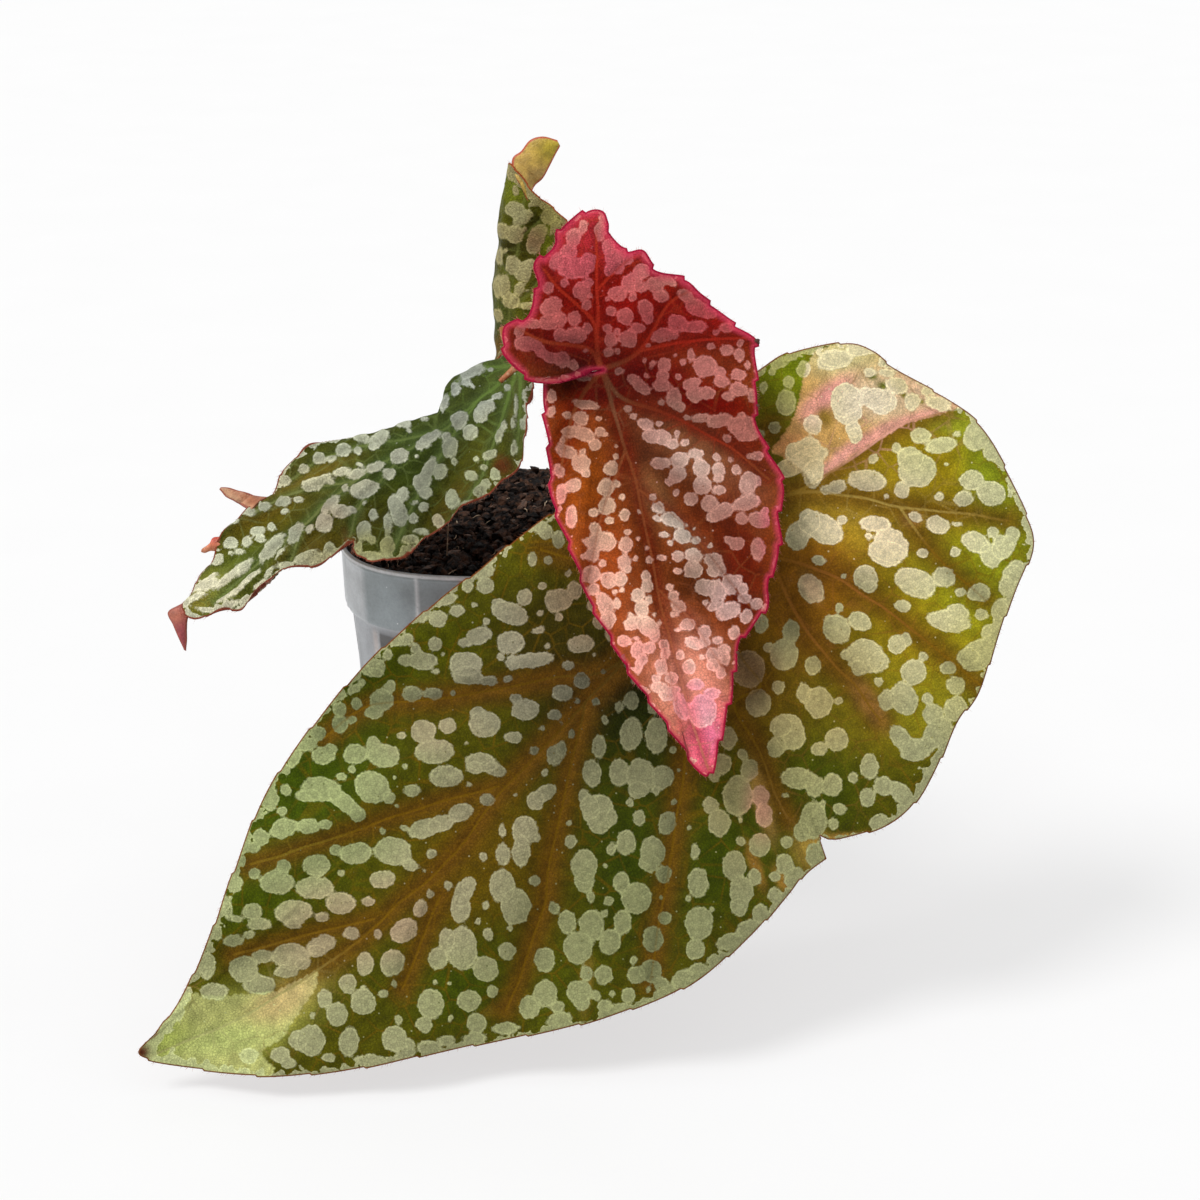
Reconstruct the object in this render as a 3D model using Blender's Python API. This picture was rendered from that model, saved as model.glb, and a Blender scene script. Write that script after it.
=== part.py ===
"""Potted begonia: a young spotted cane begonia in a translucent square nursery pot.

Sizes are in millimetres and become metres where a mesh is made. The middle of the pot's
underside is the origin, +Z is up, and the front of the plant faces -Y.
"""

import math
import random

import bpy
import numpy as np
from mathutils import Matrix

MM = 0.001

# Pot: rounded-square outline |x|^n + |y|^n = half^n
POT_HEIGHT = 120.0
POT_POWER = 3.0
POT_OUTER = [
    (0.0, 38.2), (1.2, 39.4), (8.0, 39.95), (10.0, 40.1), (94.0, 46.6), (96.0, 46.8),
    (100.6, 47.1), (101.4, 48.6), (102.6, 49.1), (117.8, 49.7), (118.4, 50.1), (120.0, 50.0),
]
POT_INNER = [(120.0, 49.0), (118.6, 48.5), (103.8, 47.9), (101.9, 45.9), (1.9, 38.4)]
PANEL_ROWS = (10.0, 94.0)
PANEL_DEPTH = 0.45
RIB_HEIGHT = 0.5
SIDE_ANGLES = (-45, -38, -31, -29.5, -26.5, -25, -16, -6, 6, 16, 25, 26.5, 29.5, 31, 38)
RIB_ANGLES = (26.5, 29.5)
PANEL_ANGLE = 25.0
DRAIN_HOLES = 8
DRAIN_RADIUS = 3.4
DRAIN_CIRCLE = 25.0

# Soil
SOIL_GAP = 0.35
SOIL_SIDE = [(2.3, 38.0), (101.9, 45.4), (104.1, 47.4)]
SOIL_EDGE_HALF = 47.8
SOIL_EDGE_DROP = 0.8
SOIL_MIDDLE_Z = 116.8
SOIL_SLOPE = 0.11
SOIL_HEAP = 3.0
SOIL_HEAP_AT = (19.0, -6.0)
SOIL_HEAP_SPREAD = 14.0
SOIL_CRUMB = 0.9
SOIL_RINGS = (0.93, 0.82, 0.69, 0.56, 0.43, 0.3, 0.16)

# Cane
CANE_PATH = [
    (19, -10, 92.4), (19, -10, 112), (18.6, -10, 130), (17.3, -10, 148),
    (14.0, -10.4, 166), (10.4, -10.8, 177), (8.8, -10.8, 184), (8.2, -10.6, 189),
]
CANE_RADIUS = 3.2
CANE_TOP_RADIUS = 2.5
CANE_NODES = (128.0, 147.0, 165.0, 177.0)
NODE_SWELL = 0.8
CANE_STEPS = 30
CANE_SIDES = 12
CANE_HOLE_RADIUS = 3.6
CANE_HOLE_BOTTOM = 92.0
NODE_SPREAD = 1.8
CANE_TIP_LENGTH = 9.0
CANE_TIP_SHARE = 0.12

# Leaves: each has its own frame, x from the leaf stalk to the tip, y across, z out of the
# upper face. A point given twice in an outline is a sharp corner.
LEAVES = {
    "leaf_front": {
        "origin": (53.4, -67.7, 135.7),
        "tip": (-0.734, -0.321, -0.599),
        "face": (0.053, -0.906, 0.421),
        "wide": [
            (-12, -22), (-30, -27), (-44, -24.5), (-53, -23), (-61, -19), (-69, -13), (-72, -7),
            (-73, -1), (-76, 9), (-78, 17), (-79, 27), (-77, 39), (-73, 53), (-68, 62), (-56, 68),
            (-42, 75), (-29, 81), (-19, 83), (-7, 88), (5, 91), (15, 90), (25, 85), (28, 82.5),
            (28, 82.5), (29, 80), (29, 80), (32, 86), (32, 86), (39, 85), (47, 86), (62, 87),
            (83, 85), (104, 77), (125, 65), (146, 51.5), (168, 37.5), (187, 21), (203, 0),
        ],
        "narrow": [
            (2, -16), (11, -28), (21, -33), (34, -35), (49, -35.5), (65, -37), (91, -37),
            (115, -34), (135, -28.5), (153, -19.5), (168, -11.5), (184, -5), (195, -2.5), (203, 0),
        ],
        "waves": [(2.4, 2.0, 7, 0.1), (1.2, 3.0, 17, 0.6)],
        "dome": (0.00015, 0.0004),
        "teeth": (0.5, 46),
        "bends": [],
        "thickness": 1.0,
        "divisions": (92, (0.08, 0.25, 0.45, 0.65, 0.84, 1.0)),
        "stalk": [
            (20.35, -13.85, 128.4), (26, -23, 131), (34, -35, 133.5), (44, -49, 132),
            (50.5, -58, 131.4), (53, -63.5, 133.2), (53.4, -67.4, 135.5),
        ],
        "stalk_radius": (2.7, 2.0),
        "color": (0.10, 0.14, 0.03),
    },
    "leaf_red": {
        "origin": (27.1, -63.8, 183.7),
        "tip": (0.251, -0.414, -0.875),
        "face": (0.051, -0.897, 0.439),
        "wide": [
            (-1.7, -12.5), (-3.4, -15.8), (-7, -20), (-14, -23), (-20, -21), (-20.5, -14.6),
            (-26.5, -10.8), (-32.5, -9.7), (-35.6, -3.8), (-39.7, -1.6), (-42.9, 3.8), (-44, 8.3),
            (-42, 11.5), (-37, 11.5), (-30.6, 13.8), (-28.6, 18.5), (-23, 20.5), (-19, 28),
            (-14, 31), (-9, 35), (-4, 38), (2, 42), (6, 41), (14, 39), (23, 37), (31, 38),
            (41, 40), (49, 36), (58, 34), (66, 29), (72, 27), (76, 22), (80, 17), (89, 13),
            (97, 9), (103, 6), (112, 0),
        ],
        "narrow": [
            (-1.5, -15.6), (5, -18), (10.6, -18.7), (20, -20), (31, -22), (42, -21), (59, -19),
            (70, -16), (82, -13), (92, -9), (102, -5), (112, 0),
        ],
        "waves": [(2.2, 2.0, 8, 0.3), (0.9, 3.0, 21, 0.2)],
        "dome": (0.0004, 0.0012),
        "sinus": 1.6,
        "teeth": (0.6, 40),
        "bends": [],
        "thickness": 0.9,
        "divisions": (100, (0.1, 0.35, 0.65, 1.0)),
        "stalk": [
            (14.4, -14.6, 165.4), (16, -22, 169), (19, -33, 177), (23, -45, 182.4),
            (26, -54, 181.4), (27, -60, 181.8), (27.1, -63.6, 183.5),
        ],
        "stalk_radius": (2.2, 1.7),
        "color": (0.45, 0.03, 0.03),
    },
    "leaf_left": {
        "origin": (3.9, -20.5, 174.0),
        "tip": (-0.797, -0.240, -0.555),
        "face": (-0.411, -0.477, 0.764),
        "wide": [
            (-1, 4), (0.5, 8), (6, 16), (9, 22), (13, 28), (18.2, 32.2), (25.2, 34), (31, 35),
            (39, 35.6), (47.7, 35), (55, 33), (60, 34), (66, 31), (69.5, 25), (69.5, 25),
            (67.9, 15.8), (67.9, 15.8), (75.5, 16.4), (81.6, 15.3), (88.3, 11.6), (91, 10),
            (98, 9.6), (104, 10), (107.7, 7.8), (113, 6.5), (117, 4), (118, 0),
        ],
        "narrow": [
            (-3, -4), (-4.5, -8), (-2.5, -12), (5, -15), (16, -17), (27, -16), (38, -17), (48, -20),
            (58, -24), (65, -26), (72, -25.2), (77, -23), (82, -21), (90, -19.5), (98, -16.5),
            (104, -13.5), (110, -10.5), (115.5, -5.5), (118, 0),
        ],
        "waves": [(1.6, 2.0, 9, 0.55), (0.7, 3.0, 23, 0.0)],
        "dome": (0.0, 0.0),
        "teeth": (0.45, 44),
        "bends": [],
        "droop": (1.25, [(-6, 6), (4, 8), (8, 11), (12, 13), (16, 13.5), (21, 11), (27, 4),
                         (35, 9), (43, 13.5), (54, 20), (64, 27)]),
        "curls": [
            {
                "root": [(86.5, -18.3), (80.5, -18.8)],
                "edges": [
                    (-77.4, -20.4, 132.6), (-72.9, -19.3, 134.1),
                    (-79.7, -20.1, 134.0), (-76.6, -19.1, 135.5),
                    (-81.7, -19.8, 135.2), (-80.0, -19.1, 136.3),
                    (-83.4, -19.4, 136.4), (-83.1, -19.3, 136.9),
                ],
            },
            {
                "root": [(115.0, 2.0), (113.2, -4.0)],
                "edges": [
                    (-89.8, -44.2, 106.7), (-91.8, -43.2, 110.0),
                    (-90.5, -44.6, 105.4), (-96.0, -43.9, 107.5),
                    (-90.7, -45.5, 102.7), (-94.6, -45.0, 104.0),
                    (-90.7, -46.3, 99.9), (-93.2, -46.1, 100.8),
                    (-91.0, -47.2, 97.0), (-91.5, -47.3, 97.3),
                ],
            },
        ],
        "thickness": 1.05,
        "divisions": (88, (0.12, 0.36, 0.58, 0.8, 1.0)),
        "stalk": [
            (7.6, -13.2, 176.2), (6.6, -15.4, 176.0), (5.2, -18.4, 175.0), (2.2, -21.6, 172.6),
            (-2.0, -23.0, 169.2),
        ],
        "stalk_radius": (1.9, 0.7),
        "color": (0.09, 0.13, 0.04),
    },
    "leaf_top": {
        "origin": (-2.1, -0.5, 171.2),
        "tip": (0.08, 0.05, 0.99),
        "face": (-0.8, -0.6, 0.1),
        "wide": [
            (-8, 8), (-3, 15), (8, 19), (22, 18), (34, 14), (44, 9), (51, 4), (55.5, 0),
        ],
        "narrow": [
            (-3, -9), (0, -17), (8, -23), (18, -26.5), (28.5, -26), (38.3, -21), (44, -14.3),
            (47.4, -8.8), (47.4, -8.8), (55.5, 0),
        ],
        "waves": [(1.0, 2.0, 6, 0.3), (0.5, 3.0, 15, 0.0)],
        "dome": (0.0, 0.0),
        "arch": 1.7,
        "teeth": (0.3, 30),
        "bends": [(90, 1, 9, -70), (-90, 1, 9, -50)],
        "curls": [
            {
                "root": [(53.1, -1.0), (45.7, -6.3)],
                "edges": [
                    (1.6, 2.0, 228.0), (7.5, 1.6, 219.8),
                    (3.9, 2.1, 229.9), (10.1, 1.7, 222.3),
                    (6.5, 2.2, 233.0), (12.1, 1.9, 225.9),
                    (10.1, 2.3, 234.0), (13.6, 2.0, 228.8),
                    (14.2, 2.2, 233.0), (15.0, 2.1, 231.3),
                ],
            },
        ],
        "thickness": 0.9,
        "divisions": (60, (0.16, 0.45, 0.74, 1.0)),
        "stalk": [
            (5.9, -9.7, 179.4), (3.4, -6.4, 177.6), (0.6, -3.2, 176.0), (-1.2, -1.4, 176.4),
            (-1.9, -0.8, 179.5),
        ],
        "stalk_radius": (1.8, 0.9),
        "color": (0.12, 0.15, 0.04),
    },
}
LEAST_STEP = 0.001  # radians between two points of a margin, seen from the leaf stalk
STALK_SIDES = 10
STALK_STEPS = 11
SINUS_REACH = 0.05
ARCH_LENGTH = 60.0
DROOP_EASE = 1.5
CURL_STEPS = 3
CURL_BULGE = 0.12


def material(name, color, roughness, transmission=0.0):
    """A plain Principled material."""
    result = bpy.data.materials.new(name)
    result.use_nodes = True
    shader = result.node_tree.nodes["Principled BSDF"]
    shader.inputs["Base Color"].default_value = (*color, 1.0)
    shader.inputs["Roughness"].default_value = roughness
    shader.inputs["Metallic"].default_value = 0.0
    shader.inputs["Transmission Weight"].default_value = transmission
    return result


def mesh_object(name, points, faces, parent=None, finish=None):
    """A named object from points in millimetres."""
    mesh = bpy.data.meshes.new(name)
    mesh.from_pydata((np.asarray(points) * MM).tolist(), [], [list(face) for face in faces])
    mesh.update()
    obj = bpy.data.objects.new(name, mesh)
    bpy.context.scene.collection.objects.link(obj)
    obj.parent = parent
    if finish:
        mesh.materials.append(finish)
    return obj


def boolean(target, tool, operation):
    """Adds or cuts tool, which stays in the file as a hidden helper."""
    modifier = target.modifiers.new(f"{operation.lower()} {tool.name}", "BOOLEAN")
    modifier.operation = operation
    modifier.object = tool
    tool.hide_render = True
    tool.display_type = "WIRE"


def lofted(rings, first_middle, last_middle):
    """Points and faces of a closed body through rings of equal count, capped with fans."""
    count = len(rings[0])
    points = np.vstack([*rings, [first_middle], [last_middle]])
    faces = []
    for row in range(len(rings) - 1):
        for i in range(count):
            j = (i + 1) % count
            a, b = row * count + i, row * count + j
            faces.append((a, b, b + count))
            faces.append((a, b + count, a + count))
    first, last = len(rings) * count, len(rings) * count + 1
    top = (len(rings) - 1) * count
    for i in range(count):
        j = (i + 1) % count
        faces.append((j, i, first))
        faces.append((top + i, top + j, last))
    return points, faces


def outline_angles():
    """Directions of the pot's corners and sides, the same on the pot and in the soil."""
    return np.radians([side * 90 + angle for side in range(4) for angle in SIDE_ANGLES])


def square_ring(half, z, extra=0.0):
    """One level of the rounded square."""
    angles = outline_angles()
    shape = (np.abs(np.cos(angles)) ** POT_POWER + np.abs(np.sin(angles)) ** POT_POWER) ** (-1 / POT_POWER)
    radius = half * shape + extra
    return np.column_stack([radius * np.cos(angles), radius * np.sin(angles), np.full(len(angles), z)])


def panel_relief():
    """How far the body stands out from the rounded square: thin panels between upright ribs."""
    offsets = np.array([angle for _ in range(4) for angle in SIDE_ANGLES])
    relief = np.where(np.abs(offsets) <= PANEL_ANGLE, -PANEL_DEPTH, 0.0)
    return np.where(np.isin(np.abs(offsets), RIB_ANGLES), RIB_HEIGHT, relief)


def cylinder(name, radius, bottom, top, at, sides=12):
    """A plain upright cylinder, used as a cutter."""
    angles = np.linspace(0, 2 * math.pi, sides, endpoint=False)
    circle = np.column_stack([at[0] + radius * np.cos(angles), at[1] + radius * np.sin(angles)])
    rings = [np.column_stack([circle, np.full(sides, z)]) for z in (bottom, top)]
    points, faces = lofted(rings, (*at, bottom), (*at, top))
    return mesh_object(name, points, faces)


def make_pot(parent):
    rings = []
    for z, half in POT_OUTER:
        in_panel = PANEL_ROWS[0] <= z <= PANEL_ROWS[1]
        rings.append(square_ring(half, z, panel_relief() if in_panel else 0.0))
    rings += [square_ring(half, z) for z, half in POT_INNER]
    floor = POT_INNER[-1][0]
    points, faces = lofted(rings, (0, 0, 0), (0, 0, floor))
    pot = mesh_object("pot", points, faces, parent, material("pot plastic", (0.75, 0.78, 0.8), 0.4, 0.6))
    for hole in range(DRAIN_HOLES):
        angle = 2 * math.pi * (hole + 0.5) / DRAIN_HOLES
        at = (DRAIN_CIRCLE * math.cos(angle), DRAIN_CIRCLE * math.sin(angle))
        cutter = cylinder(f"drain cutter {hole}", DRAIN_RADIUS, -floor, 2 * floor, at)
        boolean(pot, cutter, "DIFFERENCE")
    return pot


def soil_height(x, y):
    """The soil is banked up toward the back and a little round the cane."""
    distance = (x - SOIL_HEAP_AT[0]) ** 2 + (y - SOIL_HEAP_AT[1]) ** 2
    return SOIL_MIDDLE_Z + SOIL_SLOPE * y + SOIL_HEAP * np.exp(-distance / (2 * SOIL_HEAP_SPREAD**2))


def make_soil(parent):
    crumbs = random.Random(7)
    rings = [square_ring(half, z) for z, half in SOIL_SIDE]
    edge = square_ring(SOIL_EDGE_HALF, 0)
    edge[:, 2] = soil_height(edge[:, 0], edge[:, 1]) - SOIL_EDGE_DROP
    rings.append(edge)
    for share in SOIL_RINGS:
        ring = square_ring(SOIL_EDGE_HALF * share, 0)
        bumps = np.array([crumbs.uniform(-SOIL_CRUMB, SOIL_CRUMB) for _ in ring])
        ring[:, 2] = soil_height(ring[:, 0], ring[:, 1]) + bumps * min(1.0, 3 * share)
        rings.append(ring)
    middle = (0, 0, float(soil_height(0, 0)))
    points, faces = lofted(rings, (0, 0, SOIL_SIDE[0][0]), middle)
    soil = mesh_object("soil", points, faces, parent, material("potting soil", (0.03, 0.018, 0.012), 0.95))
    at = CANE_PATH[0][:2]
    hole = cylinder("cane hole cutter", CANE_HOLE_RADIUS, CANE_HOLE_BOTTOM, 2 * POT_HEIGHT, at)
    boolean(soil, hole, "DIFFERENCE")
    return soil


def smooth_path(points, steps=16):
    """A dense smooth curve through points of any dimension."""
    known = np.array(points, float)
    known = np.vstack([2 * known[0] - known[1], known, 2 * known[-1] - known[-2]])
    t = np.linspace(0, 1, steps, endpoint=False)[:, None]
    pieces = []
    for i in range(1, len(known) - 2):
        a, b, c, d = known[i - 1:i + 3]
        pieces.append(
            0.5 * (2 * b + (c - a) * t + (2 * a - 5 * b + 4 * c - d) * t**2 + (3 * b - a - 3 * c + d) * t**3)
        )
    return np.vstack([*pieces, known[-2:-1]])


def spaced(path, count):
    """count + 1 points at equal steps along a path."""
    run = np.concatenate([[0], np.cumsum(np.linalg.norm(np.diff(path, axis=0), axis=1))])
    where = np.linspace(0, run[-1], count + 1)
    return np.column_stack([np.interp(where, run, path[:, k]) for k in range(path.shape[1])])


def tube(path, radii, sides):
    """A closed round tube along path, with a radius for each point."""
    forward = np.gradient(path, axis=0)
    forward /= np.linalg.norm(forward, axis=1)[:, None]
    side = np.cross(forward[0], (0.3, 0.2, 0.93) if abs(forward[0][2]) < 0.9 else (1, 0, 0))
    angles = np.linspace(0, 2 * math.pi, sides, endpoint=False)
    rings = []
    for at, ahead, radius in zip(path, forward, radii):
        side = side - ahead * (side @ ahead)
        side /= np.linalg.norm(side)
        up = np.cross(ahead, side)
        rings.append(at + radius * (np.outer(np.cos(angles), side) + np.outer(np.sin(angles), up)))
    return lofted(rings, path[0], path[-1])


def make_cane(parent):
    path = spaced(smooth_path(CANE_PATH), CANE_STEPS)
    along = np.linspace(0, 1, len(path))
    radii = CANE_RADIUS + (CANE_TOP_RADIUS - CANE_RADIUS) * along
    for z in CANE_NODES:
        radii = radii + NODE_SWELL * np.exp(-(((path[:, 2] - z) / NODE_SPREAD) ** 2))
    to_tip = (path[-1, 2] - path[:, 2]) / CANE_TIP_LENGTH
    radii = radii * np.clip(to_tip + CANE_TIP_SHARE, CANE_TIP_SHARE, 1) ** 0.6
    points, faces = tube(path, radii, CANE_SIDES)
    return mesh_object("cane", points, faces, parent, material("cane", (0.22, 0.13, 0.05), 0.5))


def margin(leaf, count):
    """The blade's margin, from the wide side's base round the tip to the narrow side's base."""
    splines = [[]]
    loop = leaf["wide"] + leaf["narrow"][-2::-1]
    for point in loop:
        if splines[-1] and splines[-1][-1] == point:
            splines.append([])
        splines[-1].append(point)
    dense = [smooth_path(spline) for spline in splines]
    lengths = [np.linalg.norm(np.diff(path, axis=0), axis=1).sum() for path in dense]
    rows = []
    for path, length in zip(dense, lengths):
        rows.append(spaced(path, max(2, round(count * length / sum(lengths))))[:-1])
    return np.vstack([*rows, dense[-1][-1:]])


def toothed(edge, teeth):
    """The margin with small teeth that point toward the tip."""
    size, count = teeth
    ahead = np.gradient(edge, axis=0)
    ahead /= np.linalg.norm(ahead, axis=1)[:, None]
    outward = np.column_stack([-ahead[:, 1], ahead[:, 0]])
    phase = (np.arange(len(edge)) / (len(edge) - 1) * count) % 1
    edge = edge + outward * (size * (phase - 0.5))[:, None]
    reach = np.linalg.norm(edge, axis=1)
    bearing = np.unwrap(np.arctan2(edge[:, 1], edge[:, 0]))
    step = LEAST_STEP * np.arange(len(edge))
    bearing = np.minimum.accumulate(bearing + step) - step
    return np.column_stack([reach * np.cos(bearing), reach * np.sin(bearing)])


def relief(leaf, flat, share, around):
    """Height of the blade: rippled margin, a domed middle and, on one leaf, a hanging side."""
    height = np.zeros(len(flat))
    for size, power, count, phase in leaf["waves"]:
        height += size * share**power * np.sin(2 * math.pi * (around * count + phase))
    height -= leaf["dome"][0] * flat[:, 0] ** 2 + leaf["dome"][1] * flat[:, 1] ** 2
    height += leaf.get("arch", 0) * np.sin(math.pi * np.clip(flat[:, 0] / ARCH_LENGTH, 0, 1))
    lifted, lowered = np.exp(-around / SINUS_REACH), np.exp((around - 1) / SINUS_REACH)
    height += leaf.get("sinus", 0) * (lifted - lowered) * share
    if "droop" in leaf:
        slope, line = leaf["droop"]
        start = np.interp(flat[:, 0], [x for x, _ in line], [y for _, y in line])
        past = np.clip(-flat[:, 1] - start + DROOP_EASE, 0, None)
        eased = past**2 / (4 * DROOP_EASE)
        height -= slope * np.where(past < 2 * DROOP_EASE, eased, past - DROOP_EASE)
    return height


def bend(points, heading, start, length, degrees):
    """Rolls what lies past start along heading, evenly over length."""
    direction = np.array([math.cos(math.radians(heading)), math.sin(math.radians(heading)), 0])
    past = points @ direction - start
    curve = math.radians(degrees) / length
    angle = curve * np.clip(past, 0, length)
    beyond = np.maximum(past - length, 0)
    height = points[:, 2]
    along = np.sin(angle) / curve + beyond * np.cos(angle) - height * np.sin(angle)
    up = (1 - np.cos(angle)) / curve + beyond * np.sin(angle) + height * np.cos(angle)
    moved = points + np.outer(along - past, direction)
    moved[:, 2] = up
    return np.where((past > 0)[:, None], moved, points)


def blade(leaf):
    """Both faces of the blade on one grid round the leaf stalk, and the wall along its edge."""
    count, shares = leaf["divisions"]
    edge = toothed(margin(leaf, count), leaf["teeth"])
    around = np.linspace(0, 1, len(edge))
    flat = np.vstack([[(0.0, 0.0)], *[edge * share for share in shares]])
    share = np.concatenate([[0], np.repeat(shares, len(edge))])
    height = relief(leaf, flat, share, np.concatenate([[0], np.tile(around, len(shares))]))
    half = leaf["thickness"] / 2
    points = np.vstack([np.column_stack([flat, height + half]), np.column_stack([flat, height - half])])
    for heading, start, length, degrees in leaf["bends"]:
        points = bend(points, heading, start, length, degrees)
    width = len(edge)
    top = [(0, 1 + i + 1, 1 + i) for i in range(width - 1)]
    for row in range(len(shares) - 1):
        for i in range(width - 1):
            a = 1 + row * width + i
            top.append((a, a + 1, a + width + 1))
            top.append((a, a + width + 1, a + width))
    under = len(flat)
    rim = [0] + [1 + row * width for row in range(len(shares))]
    rim += [1 + (len(shares) - 1) * width + i for i in range(1, width)]
    rim += [1 + row * width + width - 1 for row in range(len(shares) - 2, -1, -1)]
    walls = []
    for a, b in zip(rim, rim[1:] + rim[:1]):
        walls.append((a, b, b + under))
        walls.append((a, b + under, a + under))
    faces = top + [tuple(under + i for i in face[::-1]) for face in top]
    return points, faces + walls


def on_blade(leaf, x, y):
    """Where a point of the flat outline lies on the shaped blade, halfway between its faces."""
    edge = toothed(margin(leaf, leaf["divisions"][0]), leaf["teeth"])
    bearings = np.unwrap(np.arctan2(edge[:, 1], edge[:, 0]))
    bearing = math.atan2(y, x)
    while bearing > bearings[0]:
        bearing -= 2 * math.pi
    while bearing < bearings[-1]:
        bearing += 2 * math.pi
    around = np.interp(-bearing, -bearings, np.linspace(0, 1, len(edge)))
    share = math.hypot(x, y) / np.interp(-bearing, -bearings, np.linalg.norm(edge, axis=1))
    flat = np.array([[x, y]], float)
    point = np.column_stack([flat, relief(leaf, flat, np.array([share]), np.array([around]))])
    for heading, start, length, degrees in leaf["bends"]:
        point = bend(point, heading, start, length, degrees)
    frame = np.array(leaf_matrix(leaf))
    return frame[:3, :3] @ point[0] + frame[:3, 3] / MM


def curl(leaf, root, edges):
    """A curled tip or tongue: a strip from its root on the blade between two edges, given in pairs."""
    pairs = [on_blade(leaf, *root[0]), on_blade(leaf, *root[1]), *edges]
    thickness = leaf["thickness"]
    left, right = (np.array(pairs[side::2], float) for side in (0, 1))
    left, right = smooth_path(left, CURL_STEPS), smooth_path(right, CURL_STEPS)
    across = right - left
    width = np.linalg.norm(across, axis=1)
    out = np.cross(across, np.gradient((left + right) / 2, axis=0))
    out /= np.linalg.norm(out, axis=1)[:, None]
    middle = (left + right) / 2 + out * (CURL_BULGE * width)[:, None]
    rings = []
    for a, m, b, up in zip(left, middle, right, out * thickness / 2):
        rings.append(np.array([a + up, a - up, m - up, b - up, b + up, m + up]))
    return lofted(rings, rings[0].mean(axis=0), rings[-1].mean(axis=0))


def leaf_matrix(leaf):
    """The leaf's frame as a matrix, with its place in metres."""
    x = np.array(leaf["tip"], float)
    x /= np.linalg.norm(x)
    z = np.array(leaf["face"], float)
    z -= (z @ x) * x
    z /= np.linalg.norm(z)
    frame = np.eye(4)
    frame[:3, :3] = np.column_stack([x, np.cross(z, x), z])
    frame[:3, 3] = np.array(leaf["origin"]) * MM
    return Matrix(frame.tolist())


def make_leaf(name, leaf, parent):
    points, faces = blade(leaf)
    obj = mesh_object(name, points, faces, parent, material(name, leaf["color"], 0.5))
    obj.matrix_world = leaf_matrix(leaf)
    path = spaced(smooth_path(leaf["stalk"]), STALK_STEPS)
    thick, thin = leaf["stalk_radius"]
    radii = np.linspace(thick, thin, len(path))
    stalk = mesh_object(f"{name} stalk", *tube(path, radii, STALK_SIDES))
    boolean(obj, stalk, "UNION")
    for number, strip in enumerate(leaf.get("curls", [])):
        points, faces = curl(leaf, strip["root"], strip["edges"])
        boolean(obj, mesh_object(f"{name} curl {number}", points, faces), "UNION")
    return obj


def main():
    for obj in list(bpy.data.objects):
        bpy.data.objects.remove(obj)
    parent = bpy.data.objects.new("potted begonia", None)
    bpy.context.scene.collection.objects.link(parent)
    make_pot(parent)
    make_soil(parent)
    make_cane(parent)
    for name, leaf in LEAVES.items():
        make_leaf(name, leaf, parent)


main()
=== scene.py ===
"""Looks of the potted begonia: fine spotted leaves, stalks, cane, soil, frosted pot and studio.

Lengths are in millimetres and become metres where a mesh is made. Where a spot, a vein or a
tint is placed by the photograph, its place is given in pixels of the 1200 x 1200 picture and
is carried onto the leaf through the fixed camera below. Colours are 0-255 picture colours.
"""

import math
import random

import bpy
import numpy as np
from mathutils import Matrix, Vector, noise
from mathutils.geometry import delaunay_2d_cdt
from mathutils.kdtree import KDTree


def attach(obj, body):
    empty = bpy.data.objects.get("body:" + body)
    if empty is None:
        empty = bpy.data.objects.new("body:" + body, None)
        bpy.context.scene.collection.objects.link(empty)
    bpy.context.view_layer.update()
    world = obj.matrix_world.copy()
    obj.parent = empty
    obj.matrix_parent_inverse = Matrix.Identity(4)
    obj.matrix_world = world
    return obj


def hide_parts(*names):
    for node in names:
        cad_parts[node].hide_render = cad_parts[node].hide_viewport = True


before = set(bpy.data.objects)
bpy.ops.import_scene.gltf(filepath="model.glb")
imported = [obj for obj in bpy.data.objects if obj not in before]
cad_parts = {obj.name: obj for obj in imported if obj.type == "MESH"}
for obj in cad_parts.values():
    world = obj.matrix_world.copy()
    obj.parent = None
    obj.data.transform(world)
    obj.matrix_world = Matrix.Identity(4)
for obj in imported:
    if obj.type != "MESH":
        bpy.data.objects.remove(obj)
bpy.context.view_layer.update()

MM = 0.001
BODY = "root"

# Without this seed the noise that moves the spots' edges would differ from run to run
NOISE_SEED = 1
noise.seed_set(NOISE_SEED)

# Camera and light
CAMERA_AT = (26.3, -770.8, 375.7)
CAMERA_DOWN = 20.0
PHOTO_SIZE = 1200
SENSOR = 36.0
FOCAL_PX = 2736.0
CLIP_END = 100
FLOOR_TONE = 150.0
FLOOR_GLOW = 0.62
FLOOR_HALF = 4000.0
WORLD_LIGHT = 0.38
WORLD_SEEN = 0.98
# Name, the way toward it, spread in degrees and strength
LIGHTS = [
    ("key", (-0.5, -0.35, 0.85), 22.0, 2.05),
    ("overhead", (0.1, 0.1, 1.0), 100.0, 0.85),
]

# Pot, as in the solid: heights and half widths, then offsets by degrees from a side's middle
POT_POWER = 3.0
POT_OUTER = [
    (0.0, 38.2), (1.2, 39.4), (8.0, 39.95), (10.0, 40.1), (94.0, 46.6), (96.0, 46.8),
    (100.6, 47.1), (101.4, 48.6), (102.6, 49.1), (117.8, 49.7), (118.4, 50.1), (120.0, 50.0),
]
POT_INNER = [(120.0, 49.0), (118.6, 48.5), (103.8, 47.9), (101.9, 45.9), (1.9, 38.4)]
RIM_START = 119.1
PANEL_ROWS = (10.0, 94.0)
PANEL_EASE = 0.8
COLLAR_ROWS = (102.0, 117.8)
PANEL_SHAPE = [(0, -0.45), (24.8, -0.45), (26.6, 0.5), (29.4, 0.5), (31, 0.0), (45, 0.0)]
COLLAR_SHAPE = [(0, 0.0), (27.2, 0.0), (27.9, 0.3), (28.6, 0.0), (45, 0.0)]
POT_STEPS = 4
POT_AROUND = 360
DRAIN_HOLES = 8
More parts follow.
